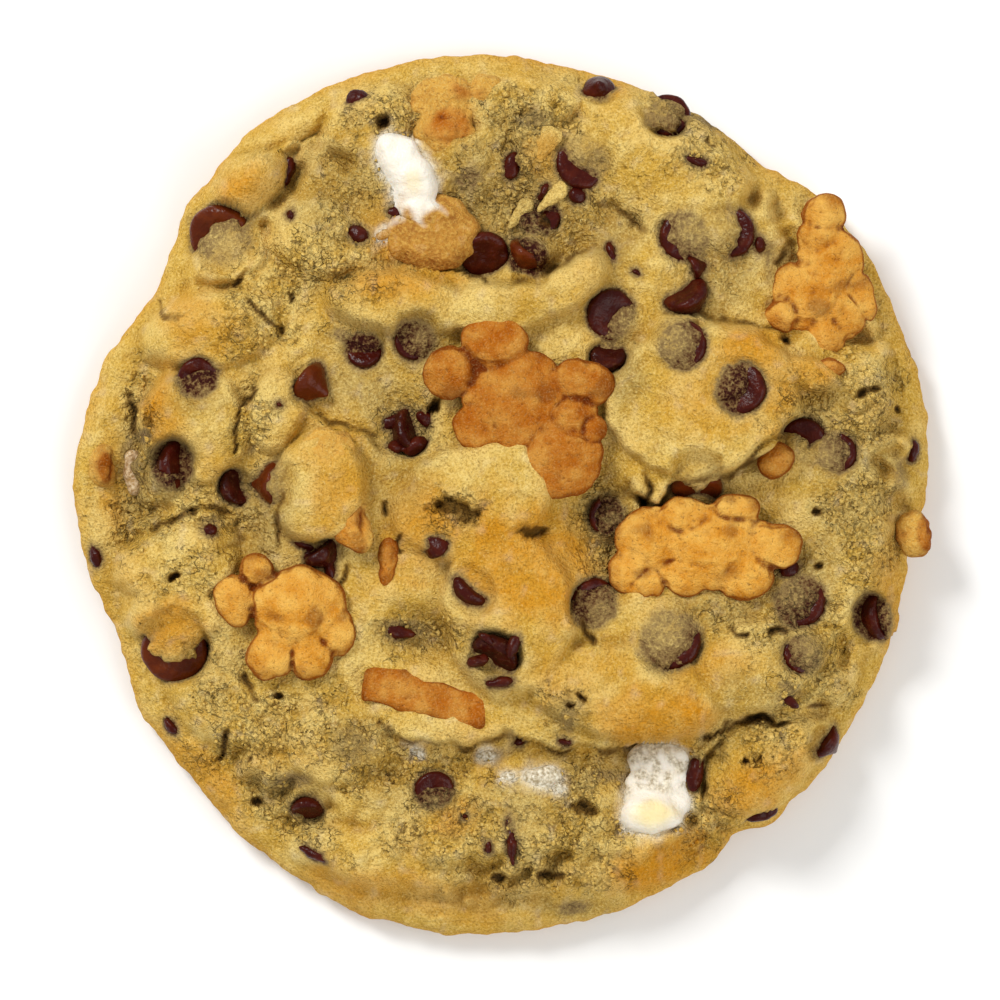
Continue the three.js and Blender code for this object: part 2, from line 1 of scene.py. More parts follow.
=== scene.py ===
"""A large soft-baked s'mores cookie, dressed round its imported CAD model.

The dough is one fine mesh, raised from the same named swells as the solid. Chocolate chips, graham
biscuits and marshmallows are pieces of their own, each placed by its CAD node. Sizes are millimetres
in the data and metres in the meshes; the origin is the middle of the flat underside, +Z is up.
"""
import logging
from dataclasses import dataclass, field
from enum import Enum
from typing import Any

import bmesh
import bpy
import numpy as np
from mathutils import Matrix, Vector
from mathutils.bvhtree import BVHTree


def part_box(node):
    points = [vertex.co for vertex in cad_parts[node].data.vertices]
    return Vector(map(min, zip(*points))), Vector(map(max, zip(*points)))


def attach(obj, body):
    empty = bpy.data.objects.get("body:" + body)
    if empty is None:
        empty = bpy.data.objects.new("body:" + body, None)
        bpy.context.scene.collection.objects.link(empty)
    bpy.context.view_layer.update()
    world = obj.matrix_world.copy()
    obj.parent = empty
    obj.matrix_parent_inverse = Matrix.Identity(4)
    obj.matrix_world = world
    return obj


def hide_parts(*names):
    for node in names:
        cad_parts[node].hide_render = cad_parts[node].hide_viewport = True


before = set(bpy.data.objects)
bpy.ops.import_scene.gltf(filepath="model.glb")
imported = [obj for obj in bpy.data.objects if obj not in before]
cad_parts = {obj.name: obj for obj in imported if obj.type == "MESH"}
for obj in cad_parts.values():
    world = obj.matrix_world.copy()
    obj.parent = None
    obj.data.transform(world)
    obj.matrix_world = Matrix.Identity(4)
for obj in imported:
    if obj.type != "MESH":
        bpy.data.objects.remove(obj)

logging.basicConfig(level=logging.INFO, format="%(message)s")
log = logging.getLogger("cookie")

MM = 0.001
Pair = tuple[float, float]
Array = np.ndarray


# ---------------------------------------------------------------- shapes of the dough, in millimetres

@dataclass(frozen=True)
class Oval:
    """An oval on the cookie's top: its middle, half axes, turn in degrees and strength."""

    at: Pair
    half: Pair
    turn: float = 0.0
    strength: float = 1.0


def ovals(*rows: tuple[float, ...]) -> tuple[Oval, ...]:
    """Ovals from rows of x, y and two half axes, and where they have them a turn and a strength."""
    return tuple(Oval(row[:2], row[2:4], *row[4:]) for row in rows)


@dataclass(frozen=True)
class Swell:
    """A swell of dough: an oval dome with the height of its top, its fall to the edge and its wall."""

    at: Pair
    half: Pair
    turn: float
    top: float
    crown: float
    wall: float


@dataclass(frozen=True)
class Lip:
    """A torn edge of dough: high on the left of its path by rise, low on the right by drop."""

    path: tuple[Pair, ...]
    rise: float
    drop: float
    reach: float = 3.0


@dataclass(frozen=True)
class Crack:
    """A crack that runs along a path, with its width and depth."""

    path: tuple[Pair, ...]
    width: float
    depth: float


COOKIE_RADIUS = 49.8
WIDEST_AT = 2.4
UNDERCUT = 1.8
RIM_ROUND = 4.6
SKIRT_HEIGHT = 6.2
CREASE = 0.45

# Outline: bearing, spread in degrees, and how far it swells past the circle.
OUTLINE_SWELLS: tuple[tuple[float, float, float], ...] = (
    (8, 9, 1.1), (24, 9, 0.6), (38, 9, 1.7), (52, 3, -0.8), (108, 24, 2.6), (122, 6, 0.5), (149, 7, -2.6),
    (178, 6, 1.1), (200, 4.5, -1.4), (221, 5, -0.6), (258, 19, 2.4), (304.5, 1.8, -1.7), (345, 14, -1.1),
    (352, 3, -0.7),
)

SWELLS: tuple[Swell, ...] = (
    Swell((1.6, 0.4), (46, 47.6), 0, 14.4, 4.2, 4.5),  # the body
    Swell((23.4, 11), (12.2, 9.6), 8, 17.8, 1.6, 1.4),  # right plateau
    Swell((35.4, 14.2), (4.6, 2.4), -12, 15.8, 1, 1),
    Swell((-3.4, -0.6), (11.4, 8), 20, 17.8, 1.8, 2),  # middle mound
    Swell((0.6, -13.6), (9.4, 11.6), 8, 18.2, 2.4, 2.4),
    Swell((13.6, -22.8), (13.4, 6.6), -10, 17, 2.2, 1.6),  # lower ridge
    Swell((29.5, -20), (9, 6.4), 20, 15.3, 2, 2),
    Swell((30, -31.6), (7.8, 5.8), 25, 13.2, 1.6, 1),  # corner plate
    Swell((-12, 22.4), (10, 4.2), -5, 17.2, 1.6, 1.2),  # the long fold
    Swell((-0.5, 21.8), (8, 3.8), 4, 17, 1.4, 1.2),
    Swell((8, 24.6), (6.6, 3.2), 38, 16.8, 1.2, 1.2),
    Swell((18.6, 39.4), (11.8, 7.8), -32, 13.8, 2.2, 1.2),  # top plate
    Swell((2, 45.6), (9, 4.6), 0, 11.6, 1.8, 2),
    Swell((-15.5, 43.6), (7, 4.6), 20, 11.8, 2, 1.6),
    Swell((-25, 43.4), (9, 2.8), 32, 8.6, 1.4, 1.4),  # the ledge at the upper left
    Swell((-30, 36.6), (5.6, 3.9), 35, 12.8, 2, 1.4),
    Swell((-31.5, 28), (6, 3.6), 25, 13.2, 1.8, 1.6),
    Swell((-33.4, 19.4), (9.6, 5.4), 12, 14.4, 2.2, 1.8),  # left shoulder
    Swell((-21, 30), (8, 6), -10, 14.2, 1.6, 2.4),
    Swell((-36, 8), (7.2, 7.4), 0, 14.8, 1.8, 1.4),  # left plate
    Swell((-26.6, 10), (4.2, 6.4), -8, 15.4, 1.4, 1.6),
    Swell((-21.3, 0.8), (6.2, 7.8), -12, 18.2, 1.8, 1.6),  # left mound
    Swell((-37.4, -8), (8.6, 5.2), 12, 14, 1.8, 1.4),
    Swell((-38.4, -14), (7, 4.2), -4, 13.6, 2.4, 1.4),
    Swell((-33, -24), (9, 5.4), -42, 11.6, 2, 2.4),
    Swell((-19, -29), (8.6, 6.4), 0, 14.4, 2.8, 2.2),  # round mound
    Swell((-14, -42.4), (13, 4.6), -10, 10.6, 1.8, 2.2),
    Swell((1.6, -38.6), (8.6, 5.6), 0, 12, 1.6, 2),
    Swell((13, -43.6), (10, 4), 16, 10.2, 1.8, 1.8),
    Swell((41, -4), (5.6, 14), 4, 12.6, 2.4, 2.4),  # right bank
    Swell((41, 12), (5.2, 7), 10, 12.8, 2, 2),
)

# Hollows between the swells, with their depth as strength.
HOLLOWS = ovals(
    (2, 31.6, 10.5, 5, 4, 2.4), (18, -33, 6.4, 5.4, 0, 3.2), (11.6, -4, 3.4, 8, 6, 2.8),
    (-3, -31, 15, 2.6, 2, 1.6), (-43.5, 1, 4.4, 3.4, 0, 1.8), (-16, 13.4, 6, 3.8, -10, 1.8),
    (-11.5, 8, 3.6, 3.4, 0, 2.4), (-30, -3.4, 3.4, 5.6, 0, 2.6), (24, -5.8, 10.4, 6, -6, 2.4),
    (-9, -16.4, 5.6, 3, -12, 2.4), (37.5, 24.5, 6, 8, 12, 1.6),
)

WAVE_COUNT = 7
WAVE_HEIGHT = 0.24
WAVE_LENGTH = 19.0
WAVE_SHRINK = 0.84
WAVE_BEARING = 137.5

# Torn lips: the high side is on the left when walking along the path.
LIPS: tuple[Lip, ...] = (
    Lip(((14, 2.5), (14.8, 0.6), (18, -1), (19.6, 1.2), (23, 2.4), (26, 2.6), (28.4, 4.4), (29.2, 6), (32, 7),
         (34.2, 9.2)), 0.8, 1.6),
    Lip(((33.7, 17), (32.5, 18.8), (30, 19.6), (25, 20.2), (22, 21.2), (17, 20.6)), 0.7, 0.9),
    Lip(((12, 29.4), (9.5, 28.4), (7.5, 27), (5, 25.4), (1, 24.4), (-2, 24.7), (-5, 26), (-10, 26.6),
         (-16, 27)), 0.7, 1.5),
    Lip(((-15.5, -26.4), (-11.5, -28.4), (-8, -29), (-4, -29.2), (0, -27.7), (5, -29.4), (12, -29.6),
         (17, -29.2), (22, -29.2)), 0.8, 1.8),
    Lip(((22, -28.5), (25, -27.3), (27, -26), (30.5, -25.6), (32.2, -26.4), (34.5, -26.3)), 0.5, 0.5, 2.2),
    Lip(((23.4, -36.5), (23, -33), (23.8, -30.2), (25.6, -28)), 0.6, 0.9, 2.0),
    Lip(((-13.6, 4.6), (-15.2, 6.5), (-17.4, 7.6), (-19.2, 7.8), (-20.8, 8), (-22.4, 10), (-24, 11.4)),
        0.7, 1.2),
    Lip(((-26.4, -7), (-27.3, -3.4), (-26.2, 0), (-25.6, 4)), 0.6, 0.6, 2.0),
    Lip(((-32, 38.5), (-28, 40.3), (-25, 41.5), (-21, 42), (-16, 42.3)), -0.7, -0.8, 2.4),
    Lip(((-42, 12.2), (-41.6, 8), (-40.8, 2)), -0.5, -0.6, 2.0),
    Lip(((-31.5, -3), (-35.5, -1.5), (-38, -3), (-41.5, -5)), 0.6, 0.6, 2.0),
    Lip(((-31, -5.8), (-31.4, -3.6), (-31.6, -2.6)), 0.6, 0.5, 2.0),
    Lip(((3.4, 36.6), (1.6, 39), (1, 42), (2.4, 44.6), (4.6, 45.2)), -0.7, -0.6, 2.0),
    Lip(((10.5, 34.2), (13, 34.4), (15.2, 33), (17.4, 30.4)), 0.5, 0.6, 2.0),
    Lip(((-40.5, 23.6), (-39.6, 21.4), (-37.4, 20.8)), 0.4, 0.4, 1.6),
)

CRACKS: tuple[Crack, ...] = (
    Crack(((-29, 27), (-31, 25.3), (-32, 24.3)), 0.35, 0.8),
    Crack(((-30.5, 23.5), (-29, 21.8), (-28, 21), (-26, 19.5), (-26, 18.5)), 0.3, 0.8),
    Crack(((-25, 24), (-24.8, 22.5)), 0.3, 0.7),
    Crack(((-29, 13.5), (-29.3, 12), (-30.8, 10), (-31.3, 8.5), (-31.2, 5.5), (-31.8, 4.5)), 0.3, 0.9),
    Crack(((-35.5, -1.5), (-38, -3), (-41.5, -5)), 0.4, 0.8),
    Crack(((9, -14), (9.6, -16), (10.8, -17.8)), 0.35, 0.9),
    Crack(((26.5, -15), (27.4, -16.2), (29, -16.5)), 0.45, 1.1),
    Crack(((30.6, -16), (32, -15.8), (33.4, -16.2)), 0.5, 1.3),
    Crack(((22, -28.9), (25, -27.7), (26.5, -26.4), (28.5, -26.3), (30.5, -25.9), (32, -26.8), (34.5, -26.6)),
          0.4, 1.1),
    Crack(((35, -24.5), (37, -24.6), (39, -24)), 0.35, 0.6),
    Crack(((-15, -26.5), (-12.5, -27.5)), 0.5, 1),
    Crack(((34.5, 30.5), (33, 28.5), (32, 26.5)), 0.6, 1.2),
    Crack(((-13.8, -0.4), (-13.9, -1.5), (-13.5, -2.6)), 0.35, 1),
    Crack(((16.4, 3.6), (17.2, 0.6), (16.2, -1.6)), 0.4, 1),
    Crack(((23.5, 42), (24.2, 41.2), (25, 40.8)), 0.3, 0.7),
    Crack(((29, -31), (30.4, -30.7)), 0.4, 1),
    Crack(((8.4, -36), (11.4, -37.2)), 0.5, 1.0),
    Crack(((3.6, -44.8), (5.5, -44.5), (7.6, -44.9)), 0.5, 1.1),
    Crack(((-31, -20.8), (-29.6, -22.4), (-28.6, -24.6)), 0.35, 0.8),
    Crack(((-33.8, -31.8), (-32.6, -29.4), (-32.2, -27)), 0.4, 0.9),
    Crack(((-44, 12.8), (-43.6, 10), (-43.4, 6.6)), 0.5, 0.9),
    Crack(((-11.8, -4.2), (-12.4, -5.6), (-11.8, -7)), 0.35, 0.9),
    Crack(((4, 32.6), (6.6, 31.6)), 0.7, 1.4),
    Crack(((-22, -15.2), (-18.6, -9.8), (-18.4, -7.6)), 0.35, 0.7),
)

# Pits and torn holes, with their depth as strength.
PITS = ovals(
    (-14.2, 43.8, 0.85, 0.7, 10, 2.4), (-38.5, -9.5, 0.75, 0.4, 35, 1.6), (-8, 10.5, 0.9, 0.55, 60, 2.4),
    (-5.5, -1.7, 2.4, 1, -10, 1.8), (3.3, -4.2, 1.4, 0.5, 5, 1.2), (9, -23.4, 0.7, 0.3, -40, 1.6),
    (7.7, -24.5, 0.6, 0.3, 10, 1.4), (33, 18.2, 0.8, 0.3, -30, 1.2), (16.4, -1, 0.5, 0.8, 20, 2.4),
    (13.5, -10, 0.7, 0.5, 0, 2.2), (42, 12, 0.9, 0.4, 30, 0.9), (43.6, 12.6, 0.5, 0.4, 0, 0.9),
    (46.3, 10.3, 0.4, 0.5, 0, 0.9), (36.7, -1.9, 0.5, 0.4, 0, 1), (36.9, -8.3, 0.5, 0.4, 0, 1),
    (-26.3, -23.5, 0.5, 0.4, 0, 1), (-29.8, -31, 0.6, 0.4, 30, 1), (-28.8, -36, 0.7, 0.4, 0, 0.8),
    (-0.5, -45, 0.8, 0.4, 0, 1), (9.8, -36.7, 1.7, 0.6, -14, 0.9), (28.4, -31.1, 0.5, 0.3, 0, 1),
)

# Where the dough tore to coarse crumb.
ROUGH = ovals(
    (-22, 26, 8, 6, 20), (-28, 21, 5, 5, 0, 0.8), (-29, 9, 2.6, 7, 0, 0.8), (-42.6, 10, 2.4, 6, 0, 0.8),
    (-43, -3, 5, 6, 0, 0.9), (-37, -8, 7, 4, 0, 0.7), (-31, -27, 6, 10, 25), (-23, -28, 8, 6, 0, 0.9),
    (-12, -32, 9, 3, 0), (-26, -37, 8, 4, -30), (-6, -38, 10, 5, 0, 0.9), (6, -43, 12, 5, 10),
    (9, -34, 5, 4, 0, 0.9), (24, -38, 4, 6, 0, 0.8), (30, -29, 7, 4, 20, 0.8), (36, -22, 6, 5, 0, 0.9),
    (35, -14, 7, 4, 20), (27, -14, 5, 3, 0, 0.6), (42, -3, 5, 11, 0, 0.9), (43, 12, 5, 7, 0),
    (36, 10, 5, 4, 0, 0.8), (11.5, -4, 3.4, 9, 0, 0.9), (9, 34, 8, 5, 30, 0.6), (0, 36, 8, 7, 0, 0.8),
    (-18, 36, 8, 5, 0, 0.7), (-12, 45.6, 8, 3, 10, 0.9), (3, 43, 6, 5, 0), (24, 41, 7, 5, -30, 0.8),
    (24, 26, 4, 4, 0, 0.4), (-5.5, -1.7, 4, 3, 0, 0.9), (-10, -16, 6, 3, 0, 0.9), (-12, 8, 5, 5, 0, 0.5),
    (-33, -1, 6, 4, 0, 0.8), (7, -25, 4, 3, 0, 0.5),
)

# Where the dough browned to gold.
GOLDEN = ovals(
    (-9.4, 30.8, 8.4, 5.6, -14, 0.85), (30.4, 14.2, 7, 7, 30, 0.62), (24, 12, 9, 6, 0, 0.25),
    (3, -8, 10, 8, -10, 0.75), (17, -25.6, 9, 4.4, -8, 0.68), (8, -21, 7, 5, -8, 0.35),
    (5, -5, 4.6, 7, 10, 0.3), (-9, -4, 6, 6, 0, 0.7), (-38.6, -15.4, 4.6, 3.2, 0, 0.8),
    (-36, 20.5, 5, 4, 0, 0.45), (-40, 9, 3, 7, 0, 0.55), (-19, 2, 5, 7, 0, 0.5),
    (-30.5, 36, 3.4, 2.4, 20, 0.5), (-13, 25, 6, 2.6, 0, 0.45), (30, -34, 7, 3.4, 20, 0.62),
    (20, -43, 8, 3.6, 20, 0.8), (-10, -47, 14, 3, -8, 0.55), (-36, -33, 8, 3, -45, 0.5),
    (46.5, -14, 3, 12, 8, 0.45), (4.6, 39.4, 2.8, 3.4, 30, 0.7), (-6, 43.4, 4, 4, 0, 0.7),
    (-5.5, -37.6, 3, 2.6, 0, 0.6), (25, -20, 7, 3, 10, 0.4), (37, 14.4, 3, 2, 0, 0.5),
    (12.6, 48, 2.4, 1.6, 0, 0.5), (-45.6, 2, 2, 6, 0, 0.5),
)

# Where chocolate and marshmallow turned the dough grey.
GREYED = ovals(
    (-2, 37, 9, 8, 0, 0.8), (-18, 36, 8, 6, 20, 0.6), (10.5, 31.5, 6.5, 4.6, 0, 0.85),
    (26, 27.5, 6, 6, 0, 0.7), (-16.4, 12.4, 7, 4, -10, 0.75), (-10, 18, 4.2, 4, 0, 0.8),
    (-12.6, 4, 4, 7, 0, 0.55), (12, -3, 2.4, 8, 4, 0.85), (14, 14, 3, 4, 0, 0.8),
    (-28, -2.6, 4.4, 6, 0, 0.75), (-42, 2, 4, 6, 10, 0.9), (-33, -20, 6, 4, -30, 0.25),
    (-17.5, -28, 3.4, 3.4, 0, 0.55), (-26, -34.5, 5, 3, 0, 0.4), (-12, -34, 7, 3.4, 0, 0.55),
    (7.5, -26, 3, 3, 0, 0.6), (4, -36, 8, 4, 0, 0.5), (9, -33.2, 3.4, 2.4, 0, 0.7), (33, -9, 7, 5, 30, 0.8),
    (27, -12.6, 9, 2.4, 6, 0.7), (34, -18, 4.4, 3.4, 0, 0.65), (28.5, -23, 5.4, 2.6, -10, 0.6),
    (40, 0, 5, 8, 0, 0.5), (39, 9.4, 4, 4, 0, 0.4), (44, 4, 3, 7, 0, 0.5), (-36, 12, 3.4, 3, -20, 0.6),
    (-38.4, 3.6, 3, 4, 0, 0.6), (-20.5, 39.5, 3.4, 2.4, 0, 0.55), (-19, 18, 4, 2.4, 0, 0.45),
    (-2, -19, 5, 4, 0, 0.5), (-9, -16.6, 5, 2.4, 0, 0.75), (3, 44, 3, 2, 0, 0.8), (21, 45, 5, 2, -20, 0.5),
    (-2, -46.5, 8, 3, 0, 0.45), (9, -48.6, 6, 1.6, 0, 0.5),
)

# Where chocolate smeared into the dough.
SMEARED = ovals(
    (-4.4, 36.8, 2.2, 1.6, 30, 0.5), (-42, 7, 1.5, 1.3, 0, 0.55), (-43.8, 3.4, 1.6, 3, 10, 0.35),
    (-18.6, 18.6, 1.6, 1, -20, 0.45), (31.2, 27.4, 0.9, 2.8, 0, 0.35), (11.6, -32.8, 1.8, 0.8, 0, 0.4),
    (7.6, -25.6, 0.9, 3, 0, 0.3), (-34.4, -3.6, 1.8, 1.2, 30, 0.4), (-12, -15.6, 3.4, 1, -8, 0.4),
    (30, -26.4, 1.4, 0.6, 10, 0.45), (33.6, -22.8, 2, 1, -35, 0.4), (8, -48.6, 2.4, 1, 8, 0.45),
    (3, 44, 2, 1.4, 0, 0.35), (-24.6, -33.6, 2.4, 1, 10, 0.4), (24, 44, 1.6, 0.8, -20, 0.4),
    (-17.5, -29, 2.8, 2.2, 0, 0.22), (46.4, 3, 1.2, 2.6, 0, 0.35),
)


# ---------------------------------------------------------------- what is baked in

class Cocoa(Enum):
    """The kinds of chocolate that show."""

    DARK = "dark"
    MILK = "milk"
    CRUMBLED = "crumbled"


@dataclass(frozen=True)
class Chip:
    """A chip at a CAD node: base radius, lean and bearing of its tip, and how dough lies over it.

    bare is the bearing and the width of the crescent that the dough leaves bare, depth is how deep
    below its top the dough round it lies, and tint is how far the chocolate shows through the film.
    """

    radius: float
    lean: float
    bearing: float
    cocoa: Cocoa = Cocoa.DARK
    bare: Pair | None = None
    tint: float = 0.5
    depth: float = 0.5


CHIPS: dict[str, Chip] = {
    "chip_01": Chip(3.2, 166, 225, bare=(255, 3.0), tint=0.3),
    "chip_02": Chip(2.9, 150, 110, depth=2.4),
    "chip_03": Chip(2.6, 110, 250, Cocoa.MILK, bare=(225, 2.4), tint=0.9),
    "chip_04": Chip(2.5, 150, 270, bare=(80, 2.2), tint=0.8),
    "chip_05": Chip(1.9, 25, 90),
    "chip_06": Chip(3, 164, 175, bare=(150, 3.4), tint=0.55),
    "chip_07": Chip(2.2, 140, 270, Cocoa.CRUMBLED, depth=1.8),
    "chip_08": Chip(2.5, 165, 225, bare=(215, 0.7), tint=0.78),
    "chip_09": Chip(2.7, 160, 270, bare=(-50, 1.2), tint=0.5),
    "chip_10": Chip(3, 172, 190, bare=(215, 0.9), tint=0.58),
    "chip_11": Chip(1.5, 100, 20),
    "chip_12": Chip(2.8, 125, 300, depth=2.4),
    "chip_13": Chip(3, 160, 0, bare=(0, 1.9), tint=0.15),
    "chip_14": Chip(3, 165, -15, bare=(-25, 0.9), tint=0.66),
    "chip_15": Chip(3.1, 160, -15, bare=(-30, 3.0), tint=0.85, depth=0.8),
    "chip_16": Chip(2.9, 158, 60, bare=(45, 2.6), tint=0.2, depth=1.2),
    "chip_17": Chip(2.5, 160, 0, bare=(0, 1.1), tint=0.6),
    "chip_18": Chip(3.1, 120, 90, Cocoa.MILK, bare=(270, 2.2), tint=0.2),
    "chip_19": Chip(3.2, 165, -35, bare=(-40, 1.1), tint=0.75),
    "chip_20": Chip(2.9, 112, 190, bare=(185, 3.0), tint=0.8, depth=1.5),
    "chip_21": Chip(2.3, 165, 200, bare=(215, 0.7), tint=0.6),
    "chip_22": Chip(3.7, 166, -45, bare=(-60, 1.1), tint=0.6),
    "chip_23": Chip(3, 160, 150, bare=(125, 1.1), tint=0.75),
    "chip_24": Chip(2.3, 160, 180, bare=(160, 0.5), tint=0.8),
    "chip_25": Chip(2.9, 130, 60, Cocoa.CRUMBLED, depth=2.4),
    "chip_26": Chip(3.1, 118, 230, depth=1.0),
    "chip_27": Chip(1.6, 60, 135, tint=0.2),
    "chip_28": Chip(2.7, 120, 200, Cocoa.CRUMBLED, depth=2.4),
    "chip_29": Chip(2.6, 78, -35, Cocoa.MILK, depth=1.6),
    "chip_30": Chip(2.3, 150, 280, bare=(260, 2.3), tint=0.9, depth=0.8),
    "chip_31": Chip(2.5, 160, 110, bare=(115, 2.0), tint=0.85),
    "chip_32": Chip(3, 122, 180, bare=(60, 4.0), tint=0.8, depth=2.0),
    "chip_33": Chip(2.2, 140, 200, Cocoa.CRUMBLED, depth=1.6),
    "chip_34": Chip(2.8, 112, 180, Cocoa.MILK, bare=(180, 2.4), tint=0.3, depth=0.9),
    "chip_35": Chip(2.3, 100, -50, Cocoa.CRUMBLED, depth=2.2),
    "chip_36": Chip(3.9, 158, 90, Cocoa.MILK, bare=(-90, 2.4), tint=0.06, depth=3.0),
    "chip_37": Chip(3.9, 152, 60, Cocoa.MILK, bare=(125, 2.3), tint=0.45, depth=1.0),
    "chip_38": Chip(1.9, 120, 90, depth=0.9),
    "chip_39": Chip(2.4, 160, 110, bare=(100, 2.0), tint=0.7),
    "chip_40": Chip(2.3, 120, -40, depth=0.9),
}

# Slivers and crumbs of chocolate that lie in the dough.
CHOCOLATE_BITS = ovals(
    (-17.2, 46.6, 1.5, 1.1), (-25.3, 38.2, 0.8, 1.8, -12), (-17, 30.6, 1.2, 1, -20),
    (22.4, 39.1, 1.7, 0.5, -15), (12.7, 28.1, 0.6, 1.5, 15), (-48, -7.2, 0.8, 1.5, 10),
    (33.2, -23.8, 1.8, 0.6, -35), (0.9, -40.2, 0.6, 3.3, 4), (-22.1, -42.1, 2.1, 0.6, -25),
    (22.5, -32.7, 1, 2.2, -8), (48.2, 5.2, 0.7, 1.4, -12), (-24.9, 32.8, 0.5, 0.5), (-26.2, 10.6, 0.6, 0.5),
    (4.6, 35.6, 0.5, 1.3, -25), (8.6, 35.1, 1.1, 1.1), (15.5, 26.1, 0.8, 0.4, -20), (30, 29.4, 0.6, 1.1),
    (33.5, -8.7, 1.2, 1.4, 20), (30.4, -37.4, 2.2, 0.9, 18), (-1.7, -41, 0.5, 1),
    (7.3, -28.8, 1.1, 0.4, -10), (1.7, -29, 0.5, 0.7, -30), (-12.9, 33.2, 1.1, 0.7, 15),
    (-4.5, -37.6, 0.4, 0.3), (-39.2, -27.2, 1.2, 0.6, -50), (-12.8, -15.9, 2.6, 0.8, -8),
    (1, 38.6, 1.1, 1.8, -20), (-34.3, -4, 0.9, 0.8), (-13.1, 8.6, 1.5, 1.1, 25), (-10.2, 5.8, 1.7, 1, 35),
    (-9.1, 8.9, 1.2, 0.9, -40), (-12.8, 5.6, 0.9, 0.8), (-1.9, -16.7, 1.4, 0.6, -35),
    (1.1, -17.6, 0.7, 1.5, -20), (-3, -19.2, 1.3, 0.7, 15), (-0.4, -21.7, 1.7, 0.6, 8),
    (-23.3, -5.7, 1.5, 0.6, -25), (-20.4, -8.6, 0.6, 1.7, 10), (-22.6, -7.6, 0.6, 1.2, 35),
)


@dataclass(frozen=True)
class Lobe:
    """A rounded lobe of a baked or melted piece: middle, half axes, lift of its middle and turn."""

    at: Pair
    half: tuple[float, float, float]
    lift: float = 0.0
    turn: float = 0.0


@dataclass(frozen=True)
class Bear:
    """A bear-shaped biscuit or a bit of one, at a CAD node, with how warm its brown is."""

    lobes: tuple[Lobe, ...]
    slope: Pair = (0.0, 0.0)
    warmth: float = 0.4
    coat: float = 0.0
    bare: Oval | None = None


